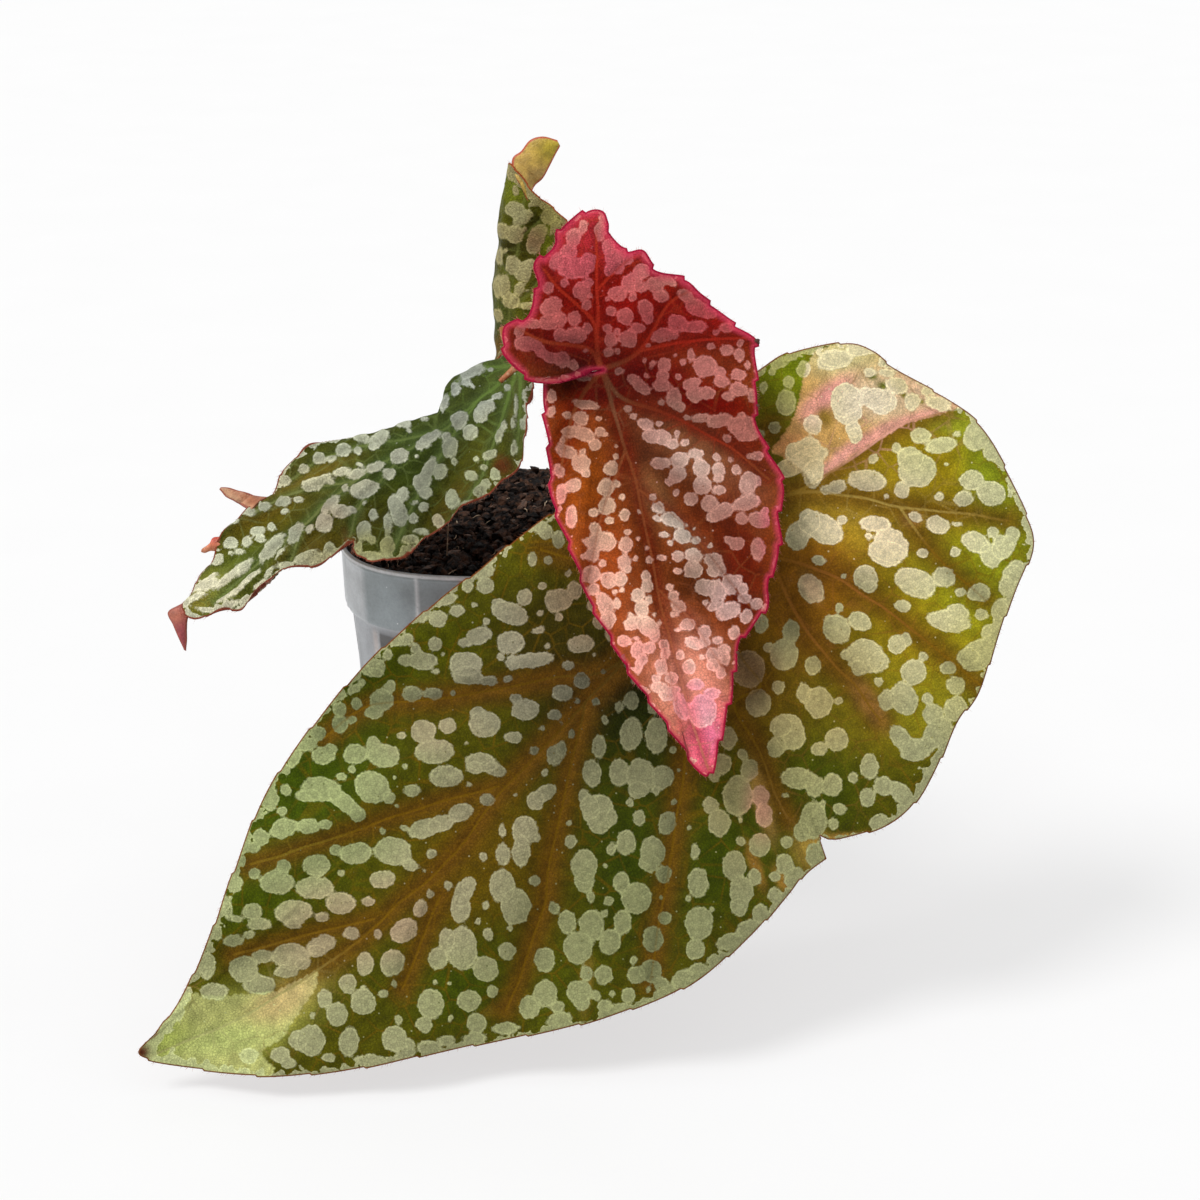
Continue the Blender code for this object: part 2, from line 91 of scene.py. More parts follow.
DRAIN_RADIUS = 3.4
DRAIN_CIRCLE = 25.0
DRAIN_SIDES = 40
DRAIN_CUT = (-4.0, 6.0)
POT_RIM = (232, 235, 237)
POT_COLLAR = (153, 163, 166)
POT_COLLAR_CORNER = (200, 205, 208)
POT_BODY = (178, 182, 186)
POT_PANEL = (92, 92, 92)
POT_RIB = (206, 198, 194)
POT_INSIDE = (150, 156, 160)
# Where those colours change, as degrees from a side's middle and the width of the change
CORNER_END = (44, 3)
CREASE = (28, 0.6)
CREASE_STRENGTH = 0.8
PANEL_END = (25.0, 1.2)
RIB = (43.4, 1.3)
PANEL_LOW = (2, 10)
PANEL_HIGH = (100, 2)

# Soil, as in the solid
SOIL_SIDE = [(2.3, 38.0), (101.9, 45.4), (104.1, 47.4)]
SOIL_EDGE_HALF = 47.8
SOIL_EDGE_DROP = 0.8
SOIL_MIDDLE_Z = 116.8
SOIL_SLOPE = 0.11
SOIL_HEAP = 3.0
SOIL_HEAP_AT = (19.0, -6.0)
SOIL_HEAP_SPREAD = 14.0
SOIL_RINGS = 70
SOIL_RING_SHARES = (0.985, 0.02)
SOIL_AROUND = 240
SOIL_ROUGH = (5, 1.5)
SOIL_FINE = (1.1, 0.45)
CRUMBS = 2300
CRUMB_SIZES = (0.9, 3.0)
BARK_CHIPS = 120
BARK_SIZES = (1.6, 4.2)
BARK_RISE = 0.9
GRAIN_CLEARANCE = 1.5
FIBRE_COUNT = 60
FIBRE_LENGTHS = (2, 7)
FIBRE_RADII = (0.08, 0.2)
FIBRE_POINTS = 5
FIBRE_SIDES = 5
FIBRE_START = 40
FIBRE_REACH = 42
FIBRE_CLEARANCE = 9
FIBRE_RISE = 0.9
UPRIGHT_FIBRE = [(-18.2, -20, 115), (-18, -19.8, 119), (-17.7, -19.4, 123), (-17.6, -19, 126)]
UPRIGHT_FIBRE_RADIUS = 0.16

# The grains of the soil are icosahedra with moved corners
ICO_RATIO = (1 + math.sqrt(5)) / 2
ICO_POINTS = [
    (-1, ICO_RATIO, 0), (1, ICO_RATIO, 0), (-1, -ICO_RATIO, 0), (1, -ICO_RATIO, 0),
    (0, -1, ICO_RATIO), (0, 1, ICO_RATIO), (0, -1, -ICO_RATIO), (0, 1, -ICO_RATIO),
    (ICO_RATIO, 0, -1), (ICO_RATIO, 0, 1), (-ICO_RATIO, 0, -1), (-ICO_RATIO, 0, 1),
]
ICO_FACES = [
    (0, 11, 5), (0, 5, 1), (0, 1, 7), (0, 7, 10), (0, 10, 11), (1, 5, 9), (5, 11, 4), (11, 10, 2),
    (10, 7, 6), (7, 1, 8), (3, 9, 4), (3, 4, 2), (3, 2, 6), (3, 6, 8), (3, 8, 9), (4, 9, 5),
    (2, 4, 11), (6, 2, 10), (8, 6, 7), (9, 8, 1),
]

# Cane, as in the solid
CANE_PATH = [
    (19, -10, 92.4), (19, -10, 112), (18.6, -10, 130), (17.3, -10, 148),
    (14.0, -10.4, 166), (10.4, -10.8, 177), (8.8, -10.8, 184), (8.2, -10.6, 189),
]
CANE_RADIUS = 3.2
CANE_TOP_RADIUS = 2.5
CANE_NODES = (128.0, 147.0, 165.0, 177.0)
NODE_SWELL = 0.8
NODE_SPREAD = 1.8
NODE_SCAR = 0.7
CANE_TIP_LENGTH = 9.0
CANE_TIP_SHARE = 0.12
CANE_TIP_POWER = 0.6
CANE_STEPS = 150
CANE_SIDES = 36
BARK_RELIEF = 0.05

# Leaves
TOP_SPACING = {"leaf_front": 0.605, "leaf_red": 0.37, "leaf_left": 0.37, "leaf_top": 0.34}
UNDER_SPACING = 1.5
MARGIN_STEP = 0.5
LEAST_STEP = 0.00005
SPOKE_PART = 60
SINUS_REACH = 0.05
ARCH_LENGTH = 60.0
DROOP_EASE = 1.5
RIM_HALF = 0.14
BLADE_HALF = 0.42
RIM_ROUND = 2.5
RIM_CALM = 2.0
VEIN_DEPTH = 0.34
VEIN_WIDTH = 2.6
UNDER_VEIN_DEPTH = 1.6 * VEIN_DEPTH
UNDER_VEIN_WIDTH = 3.2
PUFF_WIDTH = 16
PUFF_SUNK = 0.6
ROUGH_GRAIN, ROUGH_HEIGHT = 7, 0.35
FINE_GRAIN, FINE_HEIGHT = 2.6, 0.07
BLISTER_SLOPE = 0.9
MOST_SLOPE = 30
STALK_SIDES = 36
STALK_STEPS = 60
STALK_GRAIN = 1.6
CURL_STEPS = 50
CURL_BULGE = 0.12
CURL_HALF = 0.28
CURL_ACROSS = 12
CURL_GRAIN, CURL_RIPPLE = 2.2, 0.25
BAKE_SPAN = 0.98
BAKE_TWO_WIDE = 2.04
BAKE_MARGIN = 0.01

# Patterns on the leaves, in picture pixels. A wobble is a grain, a strength and a seed.
FAR = 60.0
SPOT_BLEND = 0.9
SPOT_REACH = 14
COARSE_WOBBLE = (9.0, 1.5, 3.1)
FINE_WOBBLE = (3.2, 0.8, 8.7)
VEIN_WOBBLE = (40.0, 2.0, 1.7)
BAND_WOBBLE = 6
LEAF_DISTANCE = 760
THICK_VEIN = 0.45
THICK_VEIN_REACH = 0.25
# Where between a furrow and a ridge the painted furrow shade leaves the colour as it is
FURROW_SHADE_LEVEL = 0.8
LINE_GAIN = 0.8
LINE_LIGHT = (0.5, 1.4)
LEAST_SHADE = 0.4

# Sizes of the leaves' patterns: the coarse and the fine net, the small dots and the pores
NET_SIZE = 6.5
MESH_SIZE = 0.75
UNDER_MESH_SIZE = 1.1
DOT_SIZE = 2.3
PORE_SIZE = 2.9

# The leaf that hides parts of the others in the photograph, and the seeded spots under it
HIDING_LEAF = "leaf_red"
HIDDEN_SPOT_TRIES = 4000
HIDDEN_SPOT_SIZES = (4.0, 12.0)
HIDDEN_SPOT_GAP = 3

# Hairs on each leaf: how many at the margin, their lengths and their colour
HAIRS = {
    "leaf_front": (520, (0.5, 1.3), (150, 84, 48)),
    "leaf_red": (420, (0.6, 1.6), (214, 120, 110)),
    "leaf_left": (420, (0.6, 1.7), (150, 92, 70)),
    "leaf_top": (220, (0.5, 1.4), (190, 120, 80)),
}
STALK_HAIRS = 90
HAIR_RADIUS = 0.045
HAIR_LEAN = 0.28
HAIR_SUNK = 0.1
HAIR_SEAT = 0.96
HAIR_INWARD = 0.97

# Each leaf: its frame, flat margin in two halves from stalk to tip (a point given twice is a
# corner), ripples (size, power, count, phase), dome, teeth, bends, relief, dried tongues and stalk
LEAVES = {
    "leaf_front": {
        "origin": (53.4, -67.7, 135.7),
        "tip": (-0.734, -0.321, -0.599),
        "face": (0.053, -0.906, 0.421),
        "wide": [
            (-12, -22), (-30, -27), (-44, -24.5), (-53, -23), (-61, -19), (-69, -13), (-72, -7),
            (-73, -1), (-76, 9), (-78, 17), (-79, 27), (-77, 39), (-73, 53), (-68, 62), (-56, 68),
            (-42, 75), (-29, 81), (-19, 83), (-7, 88), (5, 91), (15, 90), (25, 85), (28, 82.5),
            (28, 82.5), (29, 80), (29, 80), (32, 86), (32, 86), (39, 85), (47, 86), (62, 87),
            (83, 85), (104, 77), (125, 65), (146, 51.5), (168, 37.5), (187, 21), (203, 0),
        ],
        "narrow": [
            (2, -16), (11, -28), (21, -33), (34, -35), (49, -35.5), (65, -37), (91, -37),
            (115, -34), (135, -28.5), (153, -19.5), (168, -11.5), (184, -5), (195, -2.5), (203, 0),
        ],
        "waves": [(2.4, 2.0, 7, 0.1), (1.2, 3.0, 17, 0.6)],
        "dome": (0.00015, 0.0004),
        "teeth": (0.5, 46),
        "bends": [],
        "blister": 0.1,
        "puff": 1.0,
        "stalk": [
            (20.35, -13.85, 128.4), (26, -23, 131), (34, -35, 133.5), (44, -49, 132),
            (50.5, -58, 131.4), (53, -63.5, 133.2), (53.4, -67.4, 135.5),
        ],
        "stalk_radius": (2.7, 2.0),
    },
    "leaf_red": {
        "origin": (27.1, -63.8, 183.7),
        "tip": (0.251, -0.414, -0.875),
        "face": (0.051, -0.897, 0.439),
        "wide": [
            (-1.7, -12.5), (-3.4, -15.8), (-7, -20), (-14, -23), (-20, -21), (-20.5, -14.6),
            (-26.5, -10.8), (-32.5, -9.7), (-35.6, -3.8), (-39.7, -1.6), (-42.9, 3.8), (-44, 8.3),
            (-42, 11.5), (-37, 11.5), (-30.6, 13.8), (-28.6, 18.5), (-23, 20.5), (-19, 28),
            (-14, 31), (-9, 35), (-4, 38), (2, 42), (6, 41), (14, 39), (23, 37), (31, 38),
            (41, 40), (49, 36), (58, 34), (66, 29), (72, 27), (76, 22), (80, 17), (89, 13),
            (97, 9), (103, 6), (112, 0),
        ],
        "narrow": [
            (-1.5, -15.6), (5, -18), (10.6, -18.7), (20, -20), (31, -22), (42, -21), (59, -19),
            (70, -16), (82, -13), (92, -9), (102, -5), (112, 0),
        ],
        "waves": [(2.2, 2.0, 8, 0.3), (0.9, 3.0, 21, 0.2)],
        "dome": (0.0004, 0.0012),
        "sinus": 1.6,
        "overlap": 17.0,
        "teeth": (1.1, 40),
        "bends": [],
        "blister": 0.08,
        "puff": 0.7,
        "stalk": [
            (14.4, -14.6, 165.4), (16, -22, 169), (19, -33, 177), (23, -45, 182.4),
            (26, -54, 181.4), (27, -60, 181.8), (27.1, -63.6, 183.5),
        ],
        "stalk_radius": (2.2, 1.7),
    },
    "leaf_left": {
        "origin": (3.9, -20.5, 174.0),
        "tip": (-0.797, -0.240, -0.555),
        "face": (-0.411, -0.477, 0.764),
        "wide": [
            (-1, 4), (0.5, 8), (6, 16), (9, 22), (13, 28), (18.2, 32.2), (25.2, 34), (31, 35),
            (39, 35.6), (47.7, 35), (55, 33), (60, 34), (66, 31), (69.5, 25), (69.5, 25),
            (67.9, 15.8), (67.9, 15.8), (75.5, 16.4), (81.6, 15.3), (88.3, 11.6), (91, 10),
            (98, 9.6), (104, 10), (107.7, 7.8), (113, 6.5), (117, 4), (118, 0),
        ],
        "narrow": [
            (-3, -4), (-4.5, -8), (-2.5, -12), (5, -15), (16, -17), (27, -16), (38, -17),
            (48, -20), (58, -24), (65, -26), (72, -25.2), (77, -23), (82, -21), (90, -19.5),
            (98, -16.5), (104, -13.5), (110, -10.5), (115.5, -5.5), (118, 0),
        ],
        "waves": [(1.6, 2.0, 9, 0.55), (0.7, 3.0, 23, 0.0)],
        "dome": (0.0, 0.0),
        "teeth": (0.45, 44),
        "bends": [],
        "droop": (1.25, [(-6, 6), (4, 8), (8, 11), (12, 13), (16, 13.5), (21, 11), (27, 4),
                         (35, 9), (43, 13.5), (54, 20), (64, 27)]),
        "blister": 0.9,
        "puff": 0.9,
        "curls": [
            {
                "root": [(86.5, -18.3), (80.5, -18.8)],
                "edges": [
                    (-77.1, -20.6, 131.7), (-72.5, -19.7, 134.1),
                    (-79.3, -20.2, 132.9), (-75.7, -19.3, 135.2),
                    (-81.4, -19.8, 133.9), (-78.0, -19.1, 135.7),
                    (-82.7, -19.3, 135.3), (-80.6, -18.9, 136.5),
                    (-83.4, -19.0, 136.0), (-82.9, -18.8, 136.6),
                ],
            },
            {
                "root": [(115.0, 2.0), (113.2, -4.0)],
                "edges": [
                    (-89.8, -44.2, 106.7), (-91.8, -43.2, 110.0),
                    (-90.5, -44.6, 105.4), (-96.0, -43.9, 107.5),
                    (-90.7, -45.5, 102.7), (-94.6, -45.0, 104.0),
                    (-90.7, -46.3, 99.9), (-93.2, -46.1, 100.8),
                    (-91.0, -47.2, 97.0), (-91.5, -47.3, 97.3),
                ],
            },
        ],
        "stalk": [
            (7.6, -13.2, 176.2), (6.6, -15.4, 176.0), (5.2, -18.4, 175.0), (2.2, -21.6, 172.6),
            (-2.0, -23.0, 169.2),
        ],
        "stalk_radius": (1.9, 0.7),
    },
    "leaf_top": {
        "origin": (-2.1, -0.5, 171.2),
        "tip": (0.08, 0.05, 0.99),
        "face": (-0.8, -0.6, 0.1),
        "wide": [
            (-8, 8), (-3, 15), (8, 19), (22, 18), (34, 14), (44, 9), (51, 4), (55.5, 0),
        ],
        "narrow": [
            (-3, -9), (0, -17), (8, -23), (18, -26.5), (28.5, -26), (38.3, -21), (44, -14.3),
            (47.4, -8.8), (47.4, -8.8), (55.5, 0),
        ],
        "waves": [(1.0, 2.0, 6, 0.3), (0.5, 3.0, 15, 0.0)],
        "dome": (0.0, 0.0),
        "arch": 1.7,
        "teeth": (0.3, 30),
        "bends": [(90, 1, 9, -70), (-90, 1, 9, -50)],
        "blister": 0.5,
        "puff": 0.6,
        "curls": [
            {
                "root": [(53.1, -1.0), (45.7, -6.3)],
                "edges": [
                    (1.6, 2.0, 228.0), (7.5, 1.6, 219.8),
                    (3.9, 2.1, 229.9), (10.1, 1.7, 222.3),
                    (6.5, 2.2, 233.0), (12.1, 1.9, 225.9),
                    (10.1, 2.3, 234.0), (13.6, 2.0, 228.8),
                    (14.2, 2.2, 233.0), (15.0, 2.1, 231.3),
                ],
            },
        ],
        "stalk": [
            (5.9, -9.7, 179.4), (3.4, -6.4, 177.6), (0.6, -3.2, 176.0), (-1.2, -1.4, 176.4),
            (-1.9, -0.8, 179.5),
        ],
        "stalk_radius": (1.8, 0.9),
    },
}

# Pale spots: middle across and down, half width, half height, and the turn in
# degrees, clockwise on the picture
SPOTS = {
    "leaf_front": [
        (978, 655, 19, 14, -40), (955, 709, 12, 13), (937, 733, 17, 12, -50), (915, 750, 14, 11),
        (1011, 574, 10, 9), (1000, 613, 9, 13), (993, 633, 11, 9), (1002, 548, 10, 12),
        (948, 668, 8, 7), (858, 668, 7, 8), (906, 640, 6, 7), (888, 552, 18, 10, 10),
        (845, 655, 5, 5), (886, 700, 8, 11), (484.7, 572, 11, 6, -20), (485.5, 586, 9, 8),
        (467.4, 587, 6, 6), (474.3, 605, 3.5, 3), (448.4, 600, 10, 5, -30), (457, 611, 8, 6),
        (438, 619, 9, 9), (422, 617, 5, 6), (405, 640, 9, 6, -20), (435, 644, 7, 7),
        (479.5, 636, 13, 9, -15), (464, 643, 7, 4), (510.7, 613.7, 18, 11, 20),
        (498.6, 606.8, 8, 8), (524.6, 597.4, 8, 8), (542, 586, 4.5, 4.5), (554, 601.6, 9, 11),
        (559, 600, 13, 11), (574.4, 590.5, 8, 9), (540, 613.5, 3.5, 3), (559, 617.4, 4, 4),
        (538.5, 630, 7, 3.5, -15), (510.7, 643, 15, 11), (486.5, 621.7, 3.5, 3.5),
        (531.5, 660.5, 22, 8, -8), (512.5, 663, 7, 7), (465.7, 664, 17, 12), (467.4, 676, 15, 9),
        (488.2, 680.6, 9, 5), (422.4, 661, 15, 9), (405, 660.5, 7, 6), (415.4, 648.4, 5, 5),
        (435.5, 672, 4.5, 3), (500.3, 657, 4, 4), (443, 654, 2, 2), (508, 679, 4, 3.5),
        (377.3, 667.5, 8, 9, 30), (387.7, 654.3, 5, 6), (372, 672.7, 10, 4),
        (354, 689.3, 7, 5, -25), (362.4, 683, 3.5, 3), (381.5, 699.7, 12, 11), (390, 686.5, 6, 6),
        (373.8, 712.5, 9, 7), (356.5, 703.8, 5.5, 5.5), (412, 694, 10, 8), (433.4, 693.4, 10, 6),
        (452.8, 693, 3, 3), (339.2, 709, 7, 7), (339.9, 724.6, 8, 9), (352, 720, 4.5, 4.5),
        (319, 733.3, 7, 7), (308, 744.4, 10, 7, -20), (294, 757.5, 6, 12, 25),
        (323.6, 755.8, 12, 9, -10), (330.5, 749, 6, 5), (355.5, 754, 12, 10),
        (384.2, 755.8, 16, 12), (373, 743.7, 7, 7), (423.4, 731.6, 13, 12), (447.3, 725.7, 9, 8),
        (434.5, 751.7, 20, 12, -5), (484.7, 724.6, 16, 13), (477.8, 712.5, 8, 6),
        (524.6, 709.7, 13, 11), (516, 698.6, 6, 5), (532, 709, 7, 8), (512.5, 737.5, 9, 6),
        (554, 715, 6, 5), (542, 728, 3.5, 2.5), (534.3, 750.6, 5, 4), (401.6, 735.7, 4, 4),
        (466.7, 742.7, 2.5, 2), (481.3, 762, 16, 9, 10), (495, 769.7, 11, 7, 15),
        (476, 768, 10, 6), (446.6, 776.6, 17, 11), (469, 784.6, 3, 2.5), (405, 766.6, 3, 3),
        (394.6, 777.7, 2, 2), (412, 790.5, 9, 6), (372, 787, 18, 16, 30), (389.4, 797.4, 6, 6),
        (321.8, 788.8, 20, 12, 10), (308, 795.7, 12, 6), (344.4, 802.6, 20, 8, 40),
        (358, 814.8, 8, 7), (341.6, 777, 5, 4), (352, 769.7, 4, 4), (286, 789.8, 5, 7, -30),
        (269.9, 799, 9, 12), (282.7, 811.3, 5, 5), (283.7, 828.6, 14, 10, -25),
        (308, 826.2, 12, 8), (326, 824, 6, 5), (261, 837, 9, 8), (252.5, 847.7, 8, 5),
        (335.7, 849.8, 6, 5, -30), (356.5, 853.6, 16, 11, -10), (392.9, 851, 19, 14),
        (410.2, 865, 9, 6, 20), (431.7, 853.6, 5, 4.5), (424, 828.6, 16, 10, -15),
        (441.4, 823.4, 14, 8, -20), (460.5, 812.3, 13, 9, -20), (404.3, 828.6, 4, 3),
        (397, 806, 2.5, 2), (382.5, 831, 3, 3.5), (487.5, 799.9, 8, 6), (545.4, 793, 12, 8, -30),
        (535, 801, 9, 9), (524.6, 830.4, 13, 15), (521, 851.2, 9, 16), (537.4, 837.3, 3.5, 4),
        (502, 830.4, 4, 7), (503, 854, 7, 11), (483, 857, 4, 5.5), (316.6, 865, 14, 11),
        (314.9, 887.6, 19, 11), (276.8, 882.4, 17, 12), (283.7, 866.8, 7, 7),
        (382.5, 879, 13, 9, -5), (341.6, 873, 4, 3.5), (254.2, 873.7, 6, 6), (424, 870, 2, 2),
        (340.9, 903, 15, 11), (368, 901.4, 6.5, 5), (293.4, 911.8, 19, 12, -5), (294, 924, 8, 5),
        (321.8, 917, 7, 4.5), (252.5, 911, 10, 8), (259.4, 924, 12, 6), (237, 918.8, 6, 4),
        (228, 910, 5, 9), (249, 934.4, 6, 4), (233.4, 940.6, 10, 6), (216, 932.6, 6, 8),
        (235, 884, 8, 9, 20), (224.8, 903, 5, 8), (351.3, 933.3, 8, 6.5), (378.3, 934.4, 4, 5),
        (321.8, 944, 15, 9, -20), (316.6, 951, 8, 6), (420.6, 908.4, 7, 9, 20),
        (404, 931, 15, 11, -30), (290.6, 956.2, 18, 13), (263, 956.2, 11, 6.5),
        (302.8, 963.8, 8, 5), (286, 971.8, 12, 6), (243.8, 969, 15, 13), (259.4, 984.6, 16, 10),
        (214.4, 991.5, 14, 9), (207.5, 965.5, 8, 14), (365.2, 963.8, 8.5, 12),
        (392.2, 963, 12, 14, 20), (463.3, 892.8, 9, 14, 20), (460.5, 908.4, 10, 14),
        (469, 884, 7, 7), (502, 885.8, 13, 17), (516, 906.6, 15, 18), (534, 880.6, 6, 5.5),
        (485.5, 905, 4, 5), (447.7, 885.8, 4, 5), (430, 893.8, 4, 4.5), (554, 908, 5, 6.5),
        (462.2, 948.2, 15, 22), (446.6, 939.5, 8, 12), (438, 958.6, 10, 11), (488.2, 934.4, 5, 6),
        (485.5, 969, 13, 13), (507.3, 951, 9, 9), (477.8, 921.2, 3, 3.5), (509.7, 928, 3, 3),
        (544.7, 959.7, 10.5, 13), (431, 1003.7, 13, 15), (424, 1024.5, 8, 8),
        (469, 1000.2, 12, 11, -30), (491.7, 991.5, 6, 6), (476.8, 1022.7, 10, 10),
        (545.4, 993.3, 12, 14), (529.8, 1007, 11, 12), (557, 1006.5, 7, 5.5),
        (347.8, 983.6, 9, 10), (363.4, 1002, 13, 13), (337.4, 1014, 11, 12), (324.6, 997.8, 7, 10),
        (384.2, 993.3, 5, 4), (394, 984, 3, 3.5), (348.9, 1041.8, 10, 15, 10),
        (311.4, 1040, 14, 16), (297.6, 1040, 9, 10), (394.6, 1038.3, 13, 13),
        (398.8, 1019.3, 4, 5), (410, 1043.5, 5, 5), (313, 1015, 3, 3), (450.8, 1018.2, 3, 3.5),
        (435.5, 982, 2.5, 2.5), (449, 983.6, 2.5, 2.5), (364, 987.4, 2.5, 2.5), (280, 1054, 9, 8),
        (289, 1062.6, 8, 6), (249, 1055.7, 10, 8), (328.8, 1057.4, 7, 5), (370, 1059, 16, 5),
        (405, 1052, 10, 6), (429, 1047, 12, 7), (446.6, 1040, 9, 5), (474.3, 1038, 12, 6),
        (505.6, 1028, 14, 6),
        # Beside and below the red leaf
        (545.5, 531.7, 7, 8), (538, 526.5, 8, 5), (558, 540, 6, 9), (532, 559.5, 5, 8),
        (548.6, 560.6, 4.5, 4.5), (568, 573.6, 3.5, 4), (598, 622.6, 6, 6), (609.5, 634, 5, 7),
        (580.6, 644.3, 14, 9, -8), (547.6, 646, 3, 3), (568.2, 665.5, 6, 5), (594.5, 654.8, 2, 2),
        (603, 671.7, 3, 2.5), (581.7, 680.8, 8.5, 8, -30), (562.4, 692.8, 10.5, 9),
        (577, 700.7, 3, 2.5), (595.7, 702, 4, 4), (554.8, 715.5, 5.5, 4.5), (562, 722.8, 2, 1.5),
        (631.2, 701, 8, 9.5), (618.8, 707.3, 4, 6), (653, 706, 6, 8), (605, 719.7, 3.5, 5),
        (571.7, 734, 3.5, 4), (630.6, 734, 11.5, 17, 5), (656, 736.2, 11.5, 18),
        (672.6, 749.6, 3.5, 4), (598.8, 747, 7, 12), (554.4, 755.8, 8, 10), (562, 748.6, 5, 8),
        (592, 773.4, 9.5, 14, -10), (618.8, 772.4, 10, 14), (640.5, 776, 14, 18),
        (638, 790, 10, 9), (662.5, 777, 11, 12, 20), (656, 791, 4, 5), (544.5, 772.8, 3.5, 4),
        (678.8, 770, 2, 2), (516, 795, 2, 2), (584, 797, 6, 9), (599.5, 814, 15, 20),
        (590, 808, 9, 12), (611.5, 817.6, 5, 8), (629.5, 803, 4, 4), (638.6, 818, 6.5, 8),
        (667, 822.8, 9, 12, 20), (674, 801.5, 3, 3), (689.4, 828, 2, 3), (709.8, 805, 8, 8),
        (718.7, 822.8, 11, 14), (728.3, 738.3, 9, 12), (722, 764, 9, 11), (714, 777, 6, 6),
        (737.4, 796, 15, 20), (749.4, 770, 9, 11), (742.8, 754.4, 5, 6), (760, 796, 9, 10),
        (763.8, 815, 9, 12), (797.4, 778, 17, 11, 5), (814, 786.4, 9, 11), (832, 785, 10, 12),
        (785.4, 795, 4, 3), (813, 820, 13, 19), (801, 832, 8, 10), (822.5, 804, 3, 4),
        (839.3, 809, 7, 6), (833.3, 823.5, 5, 6), (852.5, 778, 5, 6), (759.5, 845, 11, 12),
        (740.5, 820, 2.5, 3), (740.5, 841, 5, 5), (786.6, 842, 6, 6), (570.7, 841, 6, 7),
        (569.5, 823.5, 3, 3), (625.9, 842.7, 10, 13), (611, 849.5, 4.5, 7), (652.3, 851, 13, 15),
        (648.7, 863, 10, 9), (664.3, 874, 8, 9), (695, 851.8, 4.5, 8), (584, 865.5, 13, 17),
        (584, 882, 10, 10), (591, 896.7, 4.5, 6), (605.5, 865.5, 2.5, 2.5), (621, 882.3, 8, 11),
        (636.7, 898, 15, 16), (608, 901, 5, 5.5), (567, 922, 9, 12), (591, 925.5, 12, 16),
        (578, 948, 15, 16), (622.3, 922, 9, 13), (610, 942, 11, 13, 15), (604.3, 913.5, 4, 4),
        (661, 897, 2.5, 2.5), (664, 918, 7, 7), (652.8, 939.4, 10.5, 13), (697.8, 882.3, 10.5, 15),
        (733.8, 865.5, 12, 15), (741, 890.7, 12, 14), (738.6, 907.5, 9, 9), (754.7, 877.5, 7, 9),
        (774.6, 876.8, 5, 5), (784, 864.3, 9, 11, -20), (793.8, 878.7, 9, 12, 20),
        (814, 854.7, 9, 12), (774.6, 895.5, 7, 9), (760, 913.5, 8, 10), (698.6, 923, 14, 17),
        (712, 908.7, 2.5, 3), (694.7, 949.4, 10, 10), (687.8, 898.4, 3, 3), (729, 941, 14, 8, -20),
        (747, 928, 11, 8, -25), (714.6, 959, 7, 5), (633, 960, 3.5, 4), (651, 971, 11, 12),
        (635.5, 974.6, 9, 9), (660.7, 983, 7, 7), (603.6, 975, 9, 10), (627.8, 995, 7, 8),
        (596, 995.5, 4.5, 5), (611.5, 993.8, 3, 4), (579, 991.4, 13, 11), (581.5, 1002, 8, 9),
        (586.3, 973.4, 6, 8), (648, 990, 2.5, 3.5), (604.3, 1005.8, 7, 7), (620, 1008, 11, 5),
        (646, 1003, 8, 5), (558.8, 1020, 14, 8, -15), (696.6, 968.6, 10, 5, -20),
        (682, 978, 12, 8, -30), (665.5, 993.8, 12, 8, -25),
        # Right lobe
        (785.7, 403, 10, 13), (791.5, 356.7, 8, 5, -20), (778, 364.5, 8, 5), (803, 370, 7, 9),
        (788.4, 382, 6, 6), (772, 372, 4, 4), (763, 387.7, 4, 6), (774, 428, 6, 6),
        (815.5, 349, 6, 3.5), (836, 358.7, 16, 9), (847.6, 411, 14, 14), (882.4, 403, 14, 12),
        (812.8, 424.4, 8, 10), (855, 436, 7, 8), (805, 461, 24, 10, -25), (785.7, 469, 10, 9),
        (812.8, 474.7, 9, 14), (836.8, 487, 10, 7, -10), (826, 490, 5, 4.5),
        (867, 480.5, 19, 11, 8), (873.5, 459, 5, 5), (896, 447.6, 5, 5), (901.7, 490, 8, 8),
        (917, 470.8, 19, 17), (909.5, 459, 13, 12), (920, 436, 10, 8), (940.4, 445.7, 16, 8, -10),
        (956.7, 434, 4, 3), (946, 465, 2.5, 2.5), (971, 480.5, 12, 10), (990.7, 494, 15, 12, 20),
        (963.6, 499, 10, 8), (939, 497, 4.5, 4.5), (886, 496.7, 3, 3), (977, 436, 13, 16, 35),
        (990.7, 451.5, 8, 10), (822.5, 528.8, 22, 14, 30), (809, 521, 11, 12),
        (797.3, 536.5, 12, 14), (841.8, 520, 5, 5), (874.7, 524, 16, 8), (890, 544, 18, 15, 30),
        (884.3, 554, 18, 12, 25), (868, 536.5, 3, 3), (937.3, 525, 12, 9, 20),
        (956.7, 523.8, 5, 3), (915.3, 516.5, 7, 5, 30), (923, 553, 6, 5), (955, 552, 5.5, 5.5),
        (975.2, 542.4, 15, 10, 25), (990.7, 556, 11, 12), (992.6, 532.7, 6, 6),
        (1004.2, 544.3, 11, 9), (1012, 534.6, 7, 8), (915.3, 583, 22, 14, 25),
        (944.3, 577, 12, 10, 30), (959.8, 592.6, 5, 5), (865, 577, 12, 12), (869, 586.8, 8, 6),
        (818.6, 560.5, 7, 5), (811, 588.8, 12, 16, -30), (843.7, 576, 3, 3),
        (902.5, 606, 9, 6, 10), (839, 608, 4.5, 5), (836, 629.4, 13, 16, -35),
        (859.2, 621.6, 12, 9, 25), (948, 621.6, 22, 11, 10), (957.8, 612, 12, 8, 25),
        (979, 592.6, 12, 9), (981, 614.7, 7, 6), (865, 656.4, 19, 17, 20), (878.5, 662, 10, 10),
